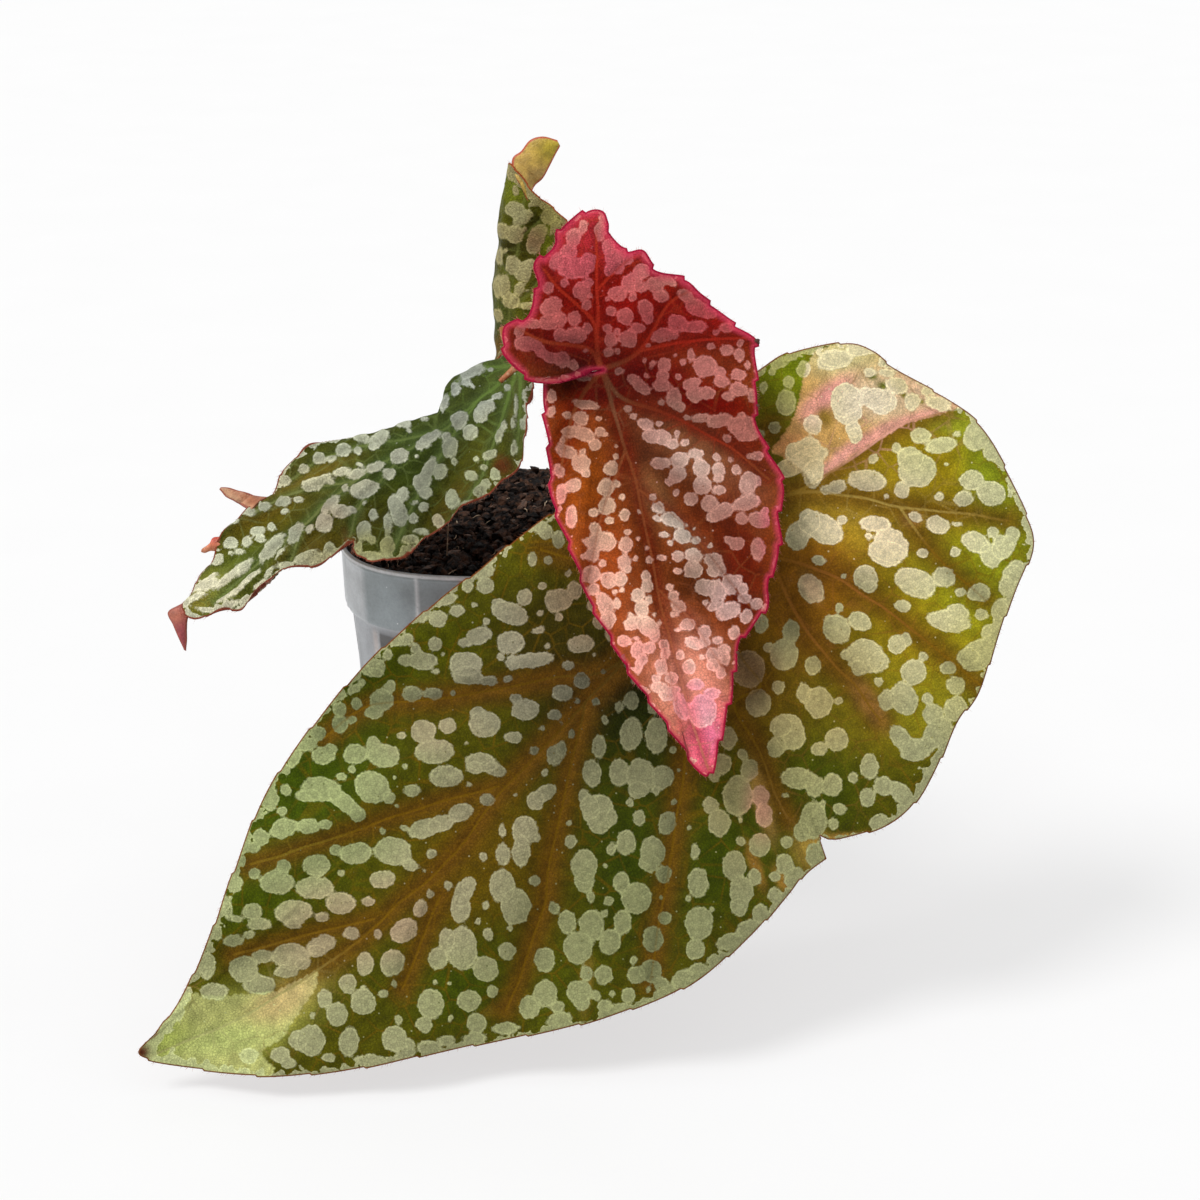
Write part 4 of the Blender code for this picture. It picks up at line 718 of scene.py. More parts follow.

# Tints. A patch is its middle across and down, half width, half height, turn in degrees,
# colour and strength. Ground, pale spots, lines and the halo along them have colours; the band
# without spots at the margin and the hem have widths.
TINTS = {
    "leaf_front": {
        "ground": ((86, 84, 16), [
            (300, 780, 70, 110, 20, (62, 82, 12), 0.9), (370, 680, 60, 30, -40, (66, 86, 14), 0.8),
            (250, 880, 40, 70, 20, (72, 88, 12), 0.8), (450, 640, 60, 25, -20, (86, 88, 10), 0.8),
            # The dark patches at 620, 690 and, on the next line, at 650, 740 are darker ground with
            # painted shade beside and under the red leaf
            (560, 640, 60, 50, 0, (62, 52, 14), 0.9), (620, 690, 55, 45, 0, (46, 44, 10), 0.95),
            (650, 740, 45, 50, 0, (46, 54, 10), 0.9), (600, 800, 50, 50, 0, (62, 70, 12), 0.8),
            (480, 860, 60, 50, -40, (112, 84, 14), 0.7), (470, 985, 70, 35, 0, (68, 84, 10), 0.8),
            (560, 980, 50, 40, 0, (88, 94, 18), 0.7), (640, 880, 45, 60, 0, (58, 76, 12), 0.8),
            (720, 860, 50, 50, 0, (66, 82, 10), 0.8), (800, 800, 45, 45, 0, (60, 74, 10), 0.9),
            (830, 750, 40, 40, 0, (70, 80, 14), 0.8), (870, 710, 45, 40, 0, (132, 116, 36), 0.8),
            (925, 690, 36, 46, 0, (150, 142, 46), 0.9), (965, 640, 34, 36, 0, (154, 150, 48), 0.8),
            (930, 610, 60, 50, 0, (172, 146, 40), 0.9), (980, 570, 50, 60, 0, (154, 160, 46), 0.9),
            (960, 480, 50, 50, 0, (172, 150, 42), 0.9), (890, 460, 60, 40, 0, (162, 140, 34), 0.9),
            (850, 520, 60, 35, 0, (190, 156, 70), 0.9),
            (800, 570, 50, 35, 20, (178, 114, 38), 0.9),
            (790, 620, 40, 40, 0, (160, 104, 36), 0.8), (770, 690, 40, 50, 0, (112, 86, 26), 0.8),
            (990, 480, 24, 50, -10, (142, 156, 50), 0.9),
            (945, 420, 34, 12, 20, (150, 160, 60), 0.9),
            (790, 380, 35, 40, 0, (120, 136, 26), 0.95),
            (772, 430, 25, 40, 0, (112, 108, 30), 0.8),
            (230, 1030, 60, 26, -20, (184, 190, 136), 1.0),
            (285, 1000, 34, 16, -35, (196, 184, 138), 1.0),
            (160, 1048, 26, 16, -20, (172, 190, 112), 1.0),
            (137, 1060, 7, 7, 0, (92, 44, 26), 1.0), (762, 800, 7, 32, -15, (204, 160, 128), 0.8),
            (755, 866, 5, 20, -20, (176, 128, 84), 0.8),
            (786, 884, 6, 16, -35, (182, 136, 92), 0.8),
            (812, 848, 16, 20, -20, (186, 154, 104), 0.8),
            (586, 985, 5, 24, 5, (168, 136, 84), 0.7),
            (868, 702, 8, 22, -35, (222, 168, 142), 0.9),
            (810, 586, 7, 14, -25, (206, 164, 130), 0.8),
            (912, 519, 8, 6, 0, (222, 172, 150), 0.9), (846, 838, 24, 4, -3, (196, 152, 110), 1.0),
            (500, 1006, 20, 5, -25, (150, 120, 60), 0.6),
        ]),
        "pale": ((154, 160, 122), [
            (300, 800, 90, 130, 20, (146, 162, 112), 0.9),
            (540, 660, 90, 70, 0, (152, 152, 132), 0.9),
            (500, 860, 70, 90, 0, (162, 158, 130), 0.8),
            (600, 600, 60, 50, 0, (140, 122, 96), 0.9),
            (640, 750, 50, 60, 0, (140, 144, 110), 0.8),
            (740, 740, 40, 90, 0, (152, 134, 98), 0.9),
            (620, 920, 100, 70, 0, (148, 158, 112), 0.9),
            (780, 800, 60, 60, 0, (150, 156, 106), 0.8),
            (830, 690, 50, 60, 0, (168, 158, 106), 0.8),
            (930, 600, 70, 70, 0, (208, 206, 160), 0.9),
            (980, 520, 60, 80, 0, (204, 212, 166), 0.9),
            (880, 520, 70, 44, 0, (228, 218, 186), 0.9),
            (850, 420, 60, 40, 0, (206, 184, 142), 0.9),
            (930, 450, 50, 30, 0, (192, 196, 146), 0.8),
            (810, 460, 30, 20, 0, (190, 168, 122), 0.8),
            (790, 380, 30, 40, 0, (158, 164, 96), 0.9),
            (340, 930, 60, 40, -20, (176, 160, 132), 0.7),
            (400, 920, 30, 30, 0, (172, 152, 126), 0.7),
            (430, 730, 40, 20, 0, (166, 156, 128), 0.6),
            (980, 660, 30, 60, 20, (180, 182, 124), 0.9),
            (762, 805, 14, 26, 0, (190, 146, 122), 0.9),
            (812, 588, 10, 18, -25, (208, 180, 146), 0.8),
            (540, 1000, 120, 40, 0, (156, 166, 118), 0.8),
            (748, 668, 22, 22, 0, (146, 116, 80), 0.9),
        ]),
        "line": ((134, 98, 10), [
            (620, 680, 50, 40, 0, (134, 102, 36), 0.9), (840, 600, 70, 60, 0, (166, 104, 44), 0.9),
            (900, 505, 80, 24, 0, (196, 168, 84), 0.9),
            (880, 440, 60, 24, 0, (244, 176, 156), 0.95),
            (215, 1030, 90, 34, -25, (176, 176, 112), 1.0),
            (300, 850, 60, 20, 0, (134, 116, 34), 0.7), (820, 830, 60, 100, 0, (134, 98, 50), 0.6),
        ]),
        "halo": ((122, 80, 18), 15.0, 0.62),
        "band": (3.0, [
            (1020, 580, 30, 90, 0, 7.0, 1.0), (990, 450, 25, 45, -30, 5.0, 1.0),
            (930, 780, 60, 40, 40, 11.0, 1.0), (230, 900, 40, 110, 20, 5.5, 1.0),
            (450, 1050, 200, 20, -5, 5.0, 1.0), (720, 950, 90, 40, -35, 8.0, 1.0),
            (130, 1050, 80, 40, 0, 12.0, 1.0),
        ]),
        "rim": (118, 66, 26), "rim_width": 0.3, "vein_strength": (0.3, 0.85),
        "under": (138, 72, 58),
    },
    "leaf_red": {
        "ground": ((158, 82, 36), [
            (600, 300, 95, 62, 0, (156, 18, 8), 1.0), (590, 232, 34, 26, 0, (202, 58, 76), 1.0),
            (560, 262, 22, 20, 0, (190, 50, 60), 0.7), (700, 320, 60, 24, 10, (164, 24, 20), 1.0),
            # The patch at 592, 366 is deep red with painted shadow under the overlapping upper
            # lobe, and the one at 590, 390 on the next line is painted shadow of that lobe
            (550, 345, 40, 16, 0, (122, 10, 12), 0.9), (592, 366, 26, 12, 0, (92, 2, 6), 0.9),
            (590, 390, 42, 9, 0, (70, 2, 2), 1.0), (575, 402, 30, 10, 0, (132, 24, 8), 0.9),
            (650, 375, 40, 18, 10, (132, 18, 8), 1.0), (705, 400, 50, 18, 15, (146, 16, 6), 1.0),
            (725, 365, 30, 25, 0, (140, 50, 24), 0.8), (735, 445, 36, 20, 20, (132, 36, 10), 0.9),
            (640, 440, 24, 30, -20, (132, 70, 42), 0.8),
            # The greyish tan patch at 700, 455 is painted sheen on the folds right of the midrib
            (700, 455, 50, 20, 35, (158, 112, 80), 0.9), (745, 490, 24, 24, 0, (152, 92, 66), 0.7),
            (565, 450, 20, 50, 0, (164, 72, 14), 0.9), (595, 500, 24, 50, 0, (164, 90, 22), 0.9),
            (600, 570, 26, 40, 0, (178, 92, 42), 0.9), (625, 470, 14, 40, -10, (136, 66, 26), 0.7),
            # This patch and the next narrow one are painted sheen along the ridges of the pleats
            (655, 500, 14, 30, -20, (158, 118, 78), 0.9),
            (700, 548, 46, 9, 45, (172, 124, 88), 0.9),
            (740, 560, 22, 50, -10, (122, 34, 14), 0.9),
            (715, 520, 26, 14, 40, (120, 50, 20), 0.8), (685, 585, 22, 16, 40, (108, 58, 20), 0.9),
            (650, 545, 12, 34, -10, (120, 66, 26), 0.7),
            # Painted sheen along a pleat's ridge
            (695, 628, 34, 9, 48, (184, 122, 90), 0.9),
            (650, 640, 22, 30, -20, (190, 116, 82), 0.8),
            (690, 690, 34, 44, -10, (220, 162, 150), 0.9),
            (708, 744, 22, 34, 0, (236, 116, 158), 1.0),
            (585, 600, 12, 30, -25, (196, 108, 70), 0.6),
        ]),
        "pale": ((216, 158, 138), [
            (590, 270, 60, 40, 0, (200, 88, 98), 1.0), (600, 320, 80, 34, 0, (196, 98, 94), 1.0),
            (705, 322, 60, 26, 0, (196, 84, 86), 1.0), (545, 350, 36, 18, 0, (186, 92, 90), 1.0),
            (660, 372, 40, 22, 0, (190, 106, 98), 1.0),
            (715, 375, 40, 26, 0, (200, 124, 114), 1.0),
            (742, 430, 30, 30, 0, (188, 118, 104), 1.0),
            (655, 432, 24, 16, 30, (216, 166, 150), 1.0),
            (695, 462, 30, 18, 30, (222, 190, 172), 1.0),
            (745, 492, 26, 24, 0, (210, 168, 152), 0.9),
            (745, 540, 26, 34, 0, (182, 122, 108), 1.0),
            (590, 440, 34, 34, 0, (206, 152, 124), 1.0),
            (606, 500, 24, 40, 0, (226, 186, 154), 1.0),
            (680, 530, 34, 18, 40, (228, 210, 190), 1.0),
            (705, 580, 22, 18, 40, (204, 172, 150), 1.0),
            (640, 600, 24, 30, 0, (230, 196, 170), 0.9),
            (735, 600, 24, 24, 0, (236, 196, 184), 0.9),
            (700, 640, 26, 18, 0, (228, 176, 162), 0.9),
            (640, 660, 26, 24, 0, (234, 154, 142), 0.9),
            (700, 705, 24, 26, 0, (224, 134, 142), 1.0),
            (775, 500, 12, 80, 0, (206, 104, 116), 0.9),
            (560, 520, 10, 80, -10, (224, 136, 126), 0.7),
        ]),
        "line": ((150, 78, 40), [
            (610, 290, 90, 60, 0, (186, 46, 26), 1.0), (700, 340, 70, 14, 0, (182, 42, 24), 1.0),
            (614, 405, 12, 34, 0, (156, 102, 68), 1.0), (600, 366, 8, 8, 0, (206, 84, 50), 0.9),
            (700, 430, 50, 24, 20, (176, 52, 28), 0.9),
            (700, 700, 24, 70, 0, (206, 130, 110), 0.7),
        ]),
        "halo": ((136, 22, 6), 7.0, 0.35),
        "band": (0.0, []),
        "rim": (160, 24, 56), "rim_width": 0.45, "vein_strength": (0.3, 0.75),
        "hem": (1.3, [
            (550, 270, 60, 90, 20, 2.4, 1.0), (640, 260, 60, 24, 35, 2.6, 1.0),
            (715, 300, 50, 26, 35, 2.6, 1.0), (780, 500, 16, 110, 0, 2.2, 1.0),
            (560, 375, 40, 10, 0, 1.4, 1.0), (705, 760, 40, 40, 0, 1.6, 1.0),
        ]),
        "hem_color": (206, 62, 88),
        "under": (150, 52, 52),
    },
    "leaf_left": {
        "ground": ((78, 90, 34), [
            (480, 385, 40, 30, -30, (80, 100, 54), 0.9),
            (505, 385, 14, 14, 0, (104, 128, 66), 0.8), (430, 435, 50, 20, -30, (70, 90, 46), 0.9),
            (380, 462, 50, 18, -20, (66, 86, 40), 0.9), (420, 490, 40, 30, 0, (62, 84, 26), 0.9),
            (390, 520, 30, 26, 0, (76, 86, 16), 0.9), (475, 475, 30, 24, -30, (90, 96, 30), 0.8),
            (460, 508, 30, 16, -40, (116, 104, 38), 0.8),
            (519, 410, 8, 50, 0, (116, 122, 72), 0.8), (355, 525, 30, 18, 0, (86, 90, 18), 0.9),
            (325, 545, 24, 16, 0, (98, 94, 26), 0.8), (300, 482, 50, 12, -25, (122, 112, 46), 0.9),
            (280, 512, 40, 9, -25, (122, 102, 36), 0.9),
            (318, 498, 40, 10, -35, (86, 98, 44), 0.8),
            (262, 530, 40, 10, -30, (112, 110, 32), 0.8),
            (300, 555, 30, 14, -20, (104, 96, 40), 0.8),
            (240, 572, 34, 16, -35, (100, 122, 52), 0.9),
            (212, 592, 26, 16, -25, (146, 160, 84), 0.8),
            (196, 602, 14, 10, 0, (146, 146, 72), 0.8), (503, 466, 8, 8, 0, (104, 56, 34), 0.9),
            (352, 548, 5, 14, -20, (142, 66, 44), 1.0),
        ]),
        "pale": ((172, 182, 152), [
            (465, 385, 40, 24, 0, (174, 188, 170), 0.9),
            (450, 440, 40, 40, 0, (162, 172, 154), 0.9),
            (400, 455, 30, 14, 0, (184, 192, 164), 0.8),
            (350, 490, 40, 24, 0, (178, 186, 160), 0.9),
            (325, 520, 24, 16, 0, (176, 170, 140), 0.9),
            (315, 560, 40, 10, 0, (154, 152, 104), 0.9),
            (385, 548, 40, 14, 0, (152, 156, 98), 0.9),
            (480, 475, 40, 40, 0, (164, 174, 128), 0.8),
            (250, 560, 50, 40, 0, (184, 192, 158), 0.8),
            (215, 592, 40, 20, 0, (200, 202, 166), 0.9),
            (300, 480, 60, 16, 0, (190, 192, 152), 0.8), (438, 522, 8, 8, 0, (190, 182, 140), 0.8),
        ]),
        "line": ((112, 128, 66), [
            (490, 388, 34, 30, -40, (118, 146, 66), 1.0),
            (300, 520, 80, 60, 0, (140, 142, 84), 0.7),
        ]),
        "halo": ((92, 112, 56), 5.0, 0.5),
        "band": (1.5, [
            (320, 455, 90, 30, -20, 5.0, 1.0), (380, 555, 60, 12, 0, 5.0, 1.0),
            (470, 370, 30, 12, -20, 5.0, 1.0), (215, 600, 60, 20, 0, 4.0, 1.0),
            (520, 410, 12, 60, 0, 3.0, 1.0),
        ]),
        "rim": (126, 62, 44), "rim_width": 0.34, "vein_strength": (0.0, 0.6),
        "under": (120, 92, 56),
    },
    "leaf_top": {
        "ground": ((88, 88, 20), [
            (517, 190, 12, 16, 0, (124, 134, 44), 0.9), (512, 222, 14, 14, 0, (94, 94, 22), 0.8),
            (530, 228, 16, 20, 0, (68, 66, 12), 0.9), (512, 250, 20, 10, 0, (58, 54, 12), 0.95),
            (540, 262, 14, 20, 0, (80, 76, 12), 0.9), (550, 242, 12, 12, 0, (116, 122, 32), 0.9),
            (530, 286, 14, 10, 0, (112, 108, 42), 0.8), (500, 322, 12, 24, 0, (78, 86, 46), 0.9),
            (505, 350, 10, 12, 0, (150, 96, 40), 0.8),
        ]),
        "pale": ((168, 172, 130), [
            (516, 212, 16, 12, 0, (172, 182, 142), 0.9),
            (505, 232, 10, 10, 0, (166, 170, 128), 0.8),
            (538, 240, 14, 14, 0, (154, 136, 104), 1.0),
            (518, 266, 18, 14, 0, (180, 186, 146), 0.9),
            (550, 216, 14, 16, 0, (156, 160, 100), 0.9),
            (530, 305, 24, 8, 0, (186, 190, 140), 0.9),
        ]),
        "line": ((118, 122, 56), []),
        "halo": ((96, 100, 40), 3.0, 0.3),
        "band": (2.0, [
            (545, 208, 30, 30, 45, 9.0, 1.0), (497, 250, 6, 90, 0, 5.0, 1.0),
            (514, 170, 14, 12, 0, 8.0, 1.0),
        ]),
        "rim": (152, 76, 40), "rim_width": 0.3, "vein_strength": (0.0, 0.5),
        "under": (176, 140, 62),
    },
}

# Parts of a leaf with a crisp edge and colours of their own: outline, ground, spots
ZONES = {"leaf_front": [
    ([
        (806, 366), (817, 349), (845, 342), (868, 341), (881, 349), (884, 364), (910, 370),
        (938, 386), (964, 408), (942, 413), (905, 424), (868, 446), (835, 470), (812, 485),
        (803, 470), (784, 458), (770, 452), (780, 438), (790, 425), (798, 402),
    ], ((214, 168, 96), [
        (842, 356, 36, 18, 0, (226, 212, 146), 1.0), (880, 398, 36, 22, 10, (236, 206, 164), 1.0),
        (925, 396, 34, 13, 32, (232, 194, 154), 1.0), (828, 396, 24, 9, -38, (248, 170, 156), 1.0),
        (812, 412, 12, 10, -40, (246, 172, 150), 0.8), (790, 446, 20, 12, 0, (214, 150, 92), 0.9),
        (824, 418, 8, 8, 0, (150, 120, 34), 0.9), (836, 461, 26, 6, -40, (248, 176, 158), 0.9),
        (870, 439, 28, 6, -32, (248, 172, 156), 0.9), (915, 418, 30, 5, -18, (246, 176, 156), 0.9),
        (886, 387, 8, 4, 15, (112, 120, 20), 1.0), (872, 377, 4, 3, 0, (104, 116, 20), 1.0),
        (904, 396, 4, 2, 20, (130, 124, 30), 1.0), (921, 402, 3, 2, 0, (130, 124, 30), 1.0),
    ]), ((236, 220, 174), [
        (842, 356, 36, 16, 0, (238, 226, 178), 1.0), (810, 423, 10, 10, 0, (246, 216, 184), 0.9),
        (868, 404, 26, 20, 0, (248, 232, 200), 0.9), (800, 450, 26, 20, 0, (218, 194, 142), 0.9),
        (915, 384, 26, 12, 30, (222, 206, 154), 0.9),
    ])),
    ([
        (110, 1080), (110, 1036), (165, 1008), (186, 992), (215, 996), (247, 994), (278, 990),
        (304, 977), (318, 969), (317, 986), (306, 1003), (294, 1019), (287, 1034), (277, 1042),
        (262, 1050), (266, 1060), (276, 1068), (262, 1088), (120, 1092),
    ], ((190, 192, 116), [
        (285, 998, 36, 16, -35, (206, 184, 122), 1.0),
        (160, 1040, 26, 18, -20, (178, 190, 92), 1.0), (140, 1052, 8, 7, 0, (92, 44, 26), 1.0),
        (225, 1040, 40, 12, -10, (190, 200, 118), 0.9),
    ]), ((200, 206, 142), [(140, 1052, 8, 7, 0, (92, 44, 26), 1.0)])),
]}

# Spots in the first of those parts
CRISP_SPOTS = {"leaf_front": [
    (833, 361, 17, 9, -15), (858, 350, 12, 7), (845, 400, 15, 17, 10), (853, 430, 8, 8),
    (812, 425, 9, 9), (876, 399, 14, 11), (896, 386, 12, 8, 20), (808, 447, 12, 10),
    (795, 452, 10, 9), (938, 404, 14, 6, 20), (912, 402, 8, 9), (886, 373, 9, 4),
    (818, 470, 6, 10), (926, 391, 6, 5), (864, 396, 8, 9), (869, 373, 6, 5),
]}

# Colours of the dried tongues and of their rims
CURL_TINTS = {
    "leaf_left": [
        ((206, 158, 122), [
            (256, 500, 10, 6, 0, (150, 84, 50), 0.9), (240, 494, 10, 3, 25, (176, 112, 78), 0.8),
        ]),
        ((168, 82, 82), [
            (175, 615, 10, 8, 0, (178, 108, 82), 0.8), (184, 640, 8, 12, 0, (150, 62, 66), 0.8),
        ]),
    ],
    "leaf_top": [
        ((192, 160, 68), [
            (552, 150, 10, 10, 0, (184, 164, 38), 0.9), (536, 176, 12, 8, 0, (190, 158, 92), 0.8),
            (520, 158, 9, 10, 0, (196, 158, 82), 0.7),
        ]),
    ],
}
CURL_RIM = {"leaf_left": (150, 74, 56), "leaf_top": (186, 72, 52)}

# The picture's colours are those of lit leaves: gains for the ground and for the spots undo that.
GAINS = {
    "leaf_front": ((0.86, 0.84, 0.34), (1.08, 0.98, 0.9)),
    "leaf_red": ((0.7, 0.54, 0.44), (0.87, 0.82, 0.83)),
    "leaf_left": ((0.68, 0.57, 0.34), (0.97, 0.89, 0.94)),
    "leaf_top": ((0.92, 0.9, 0.54), (0.88, 0.72, 0.58)),
}

# Painted light and shade: where a leaf is lighter or darker than its gains make it, patches with a
# number for the colour
PAINTED_LIGHT_AND_SHADE = {
    "leaf_front": (1.0, [
        (900, 600, 120, 190, 0, 1.14, 1.0), (905, 400, 70, 42, 25, 1.25, 1.0),
        (820, 385, 42, 40, 0, 1.2, 0.9), (820, 650, 45, 80, -15, 1.02, 0.8),
        (885, 582, 26, 12, 20, 0.86, 0.7), (600, 702, 72, 34, -30, 0.34, 1.0),
        (500, 688, 62, 15, -10, 0.62, 0.9), (640, 755, 55, 40, 0, 0.72, 0.8),
        (560, 750, 56, 34, -40, 0.56, 0.8), (620, 900, 110, 90, 0, 0.8, 0.8),
        (290, 880, 90, 120, 30, 1.18, 0.9), (200, 1030, 90, 40, -20, 1.3, 0.9),
        (520, 545, 20, 30, 0, 1.5, 0.8),
    ]),
    "leaf_red": (1.05, [
        (650, 335, 90, 28, 0, 0.8, 0.9), (592, 376, 56, 24, 8, 0.28, 1.0),
        (655, 398, 60, 22, 22, 0.58, 0.9), (668, 472, 60, 13, 43, 0.52, 0.9),
        (702, 590, 30, 10, 50, 0.6, 0.8), (585, 240, 40, 25, 0, 1.3, 0.8),
        (592, 560, 24, 70, -14, 1.5, 0.9), (682, 690, 42, 60, -15, 1.9, 1.0),
        (650, 630, 30, 30, 0, 1.4, 0.8), (706, 748, 22, 30, 0, 2.3, 1.0),
    ]),
    "leaf_left": (1.0, [
        (330, 465, 80, 18, -22, 1.35, 0.9), (485, 450, 16, 24, 0, 1.5, 0.8),
        (400, 522, 60, 20, -5, 0.66, 0.9), (442, 470, 14, 36, 30, 0.66, 0.8),
        (235, 575, 70, 34, -30, 1.3, 0.9),
    ]),
    "leaf_top": (1.0, [(540, 235, 16, 20, 0, 0.7, 0.8), (515, 305, 14, 20, 0, 1.35, 0.7)]),
}

# Painted shade in the furrows along the veins and painted light on the ridges between them: how
# much darker the furrows are than the ridges, and their width
PAINTED_FURROW_SHADE = {
    "leaf_front": (0.46, 15.0), "leaf_red": (0.4, 9.0), "leaf_left": (0.3, 7.0),
    "leaf_top": (0.1, 5.0),
}

# Colours of the stalks, as a colour and patches of others
STALK_COLORS = {
    "leaf_front": ((168, 80, 52), [(690, 545, 60, 40, 0, (178, 112, 84), 0.9)]),
    "leaf_red": ((150, 70, 52), [(600, 372, 18, 16, 0, (178, 70, 60), 0.9)]),
    "leaf_left": ((172, 96, 54), [(522, 360, 20, 20, 0, (176, 108, 60), 0.9)]),
    "leaf_top": ((178, 110, 52), [(510, 352, 20, 16, 0, (184, 116, 54), 0.9)]),
}

# The left leaf's third, short tongue as picture points, left and right by turns, and how it
# lies: behind the margin, folded forward, and with its back this far behind its front
SMALL_TONGUE = [
    (222, 537), (219, 552), (213, 538), (211, 551), (209, 544), (205, 553), (202, 549), (201, 552),
]
SMALL_TONGUE_BEHIND = 0.5
SMALL_TONGUE_FOLD = (0, -0.5, 0.3)
SMALL_TONGUE_BACK = (0, 0.4, 0)
SMALL_TONGUE_TINT = ((206, 132, 96), [(213, 538, 7, 5, 0, (196, 62, 44), 1.0)])

# Dried flecks on the red leaf's margin: a picture point and a size in millimetres
DRIED_FLECKS = [(757, 341, 1.0), (758, 343, 0.7), (757, 405, 0.6), (736, 653, 0.7)]


def linear(color):
    """A 0-255 picture colour as the light it stands for."""
    share = np.array(color, float) / 255
    return np.where(share <= 0.04045, share / 12.92, ((share + 0.055) / 1.055) ** 2.4)


def mesh_object(name, points, faces, materials=(), indices=None, smooth=True):
    """An object of one mesh, from points in millimetres."""
    mesh = bpy.data.meshes.new(name)
    mesh.from_pydata((np.asarray(points) * MM).tolist(), [], faces)
    for material in materials:
        mesh.materials.append(material)
    if indices is not None:
        mesh.polygons.foreach_set("material_index", np.asarray(indices, np.int32))
    mesh.polygons.foreach_set("use_smooth", np.full(len(mesh.polygons), smooth))
    mesh.update()
    obj = bpy.data.objects.new(name, mesh)
    bpy.context.scene.collection.objects.link(obj)
    return obj


def join_to_part(obj, node):
    """Makes the object a piece of the part's one body, in the place of a node of the solid."""
    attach(obj, BODY)
    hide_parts(node)
    return obj


def write_numbers(obj, name, values):
    layer = obj.data.attributes.new(name, "FLOAT", "POINT")
    layer.data.foreach_set("value", np.asarray(values, np.float32))


def write_colors(obj, name, colors):
    rows = np.column_stack([colors, np.ones(len(colors))]).astype(np.float32)
    obj.data.attributes.new(name, "FLOAT_COLOR", "POINT").data.foreach_set("color", rows.ravel())


def write_vectors(obj, name, vectors):
    rows = np.asarray(vectors, np.float32)
    obj.data.attributes.new(name, "FLOAT_VECTOR", "POINT").data.foreach_set("vector", rows.ravel())


def write_bake_map(obj, flat):
    """A UV map from flat coordinates of each point, already between 0 and 1."""
    layer = obj.data.uv_layers.new(name="OFBake")
    corners = np.empty(len(obj.data.loops), np.int32)
    obj.data.loops.foreach_get("vertex_index", corners)
    layer.data.foreach_set("uv", np.asarray(flat, np.float32)[corners].ravel())


def in_picture(points):
    """Where points in millimetres fall on the photograph, in its pixels."""
    down = math.radians(CAMERA_DOWN)
    away = np.asarray(points, float) - np.array(CAMERA_AT)
    depth = away[:, 1] * math.cos(down) - away[:, 2] * math.sin(down)
    height = away[:, 1] * math.sin(down) + away[:, 2] * math.cos(down)
    middle = PHOTO_SIZE / 2
    across = middle + FOCAL_PX * away[:, 0] / depth
    return np.column_stack([across, middle - FOCAL_PX * height / depth])


def from_picture(u, v, depth):
    """The point at a pixel of the photograph and at a depth along the camera's axis."""
    down = math.radians(CAMERA_DOWN)
    across = (u - PHOTO_SIZE / 2) / FOCAL_PX * depth
    height = (PHOTO_SIZE / 2 - v) / FOCAL_PX * depth
    y = depth * math.cos(down) + height * math.sin(down)
    z = height * math.cos(down) - depth * math.sin(down)
    return np.array(CAMERA_AT) + (across, y, z)


def depth_of(point):
    """How far a point lies from the camera along its axis."""
    down = math.radians(CAMERA_DOWN)
    away = np.asarray(point) - np.array(CAMERA_AT)
    return away[1] * math.cos(down) - away[2] * math.sin(down)


def smooth_path(points, steps=32):
    """A dense smooth curve through points of any dimension."""
    known = np.array(points, float)
    known = np.vstack([2 * known[0] - known[1], known, 2 * known[-1] - known[-2]])
    t = np.linspace(0, 1, steps, endpoint=False)[:, None]
    pieces = []
    for i in range(1, len(known) - 2):
        a, b, c, d = known[i - 1:i + 3]
        square = 2 * a - 5 * b + 4 * c - d
        cube = 3 * b - a - 3 * c + d
        pieces.append(0.5 * (2 * b + (c - a) * t + square * t**2 + cube * t**3))
    return np.vstack([*pieces, known[-2:-1]])


def spaced(path, count):
    """count + 1 points at equal steps along a path."""
    run = np.concatenate([[0], np.cumsum(np.linalg.norm(np.diff(path, axis=0), axis=1))])
    where = np.linspace(0, run[-1], count + 1)
    return np.column_stack([np.interp(where, run, path[:, k]) for k in range(path.shape[1])])


def around_circle(count):
    """Equal angles all the way round."""
    return np.linspace(0, 2 * math.pi, count, endpoint=False)


def lofted(rings):
    """Points and faces of a closed body through rings of equal count, capped with fans."""
    count = len(rings[0])
    points = np.vstack([*rings, [rings[0].mean(axis=0)], [rings[-1].mean(axis=0)]])
    faces = []
    for row in range(len(rings) - 1):
        for i in range(count):
            j = (i + 1) % count
            a, b = row * count + i, row * count + j
            faces.append((a, b, b + count, a + count))
    first, last = len(rings) * count, len(rings) * count + 1
    top = (len(rings) - 1) * count
    for i in range(count):
        j = (i + 1) % count
        faces.append((j, i, first))
        faces.append((top + i, top + j, last))
    return points, faces


def tube(path, radii, sides):
    """A closed round tube along path, with a radius for each point."""
    forward = np.gradient(path, axis=0)
    forward /= np.linalg.norm(forward, axis=1)[:, None]
    side = np.cross(forward[0], (0.3, 0.2, 0.93) if abs(forward[0][2]) < 0.9 else (1, 0, 0))
    angles = around_circle(sides)
    rings = []
    for at, ahead, radius in zip(path, forward, radii):
        side = side - ahead * (side @ ahead)
        side /= np.linalg.norm(side)
        up = np.cross(ahead, side)
        circle = np.outer(np.cos(angles), side) + np.outer(np.sin(angles), up)
        rings.append(at + radius * circle)
    return lofted(rings)


def merged(bodies):
    """Points and faces of several bodies as one."""
    faces = []
    first = 0
    for points, found in bodies:
        faces += [tuple(first + i for i in face) for face in found]
        first += len(points)
    return np.vstack([points for points, _ in bodies]), faces


def roughened(points, path, sides, bumps):
    """A tube's points moved out from its path, or in toward it, by a share of its radius."""
    centers = np.vstack([np.repeat(path, sides, axis=0), path[:1], path[-1:]])
    return points + (points - centers) * (BARK_RELIEF * bumps)[:, None]


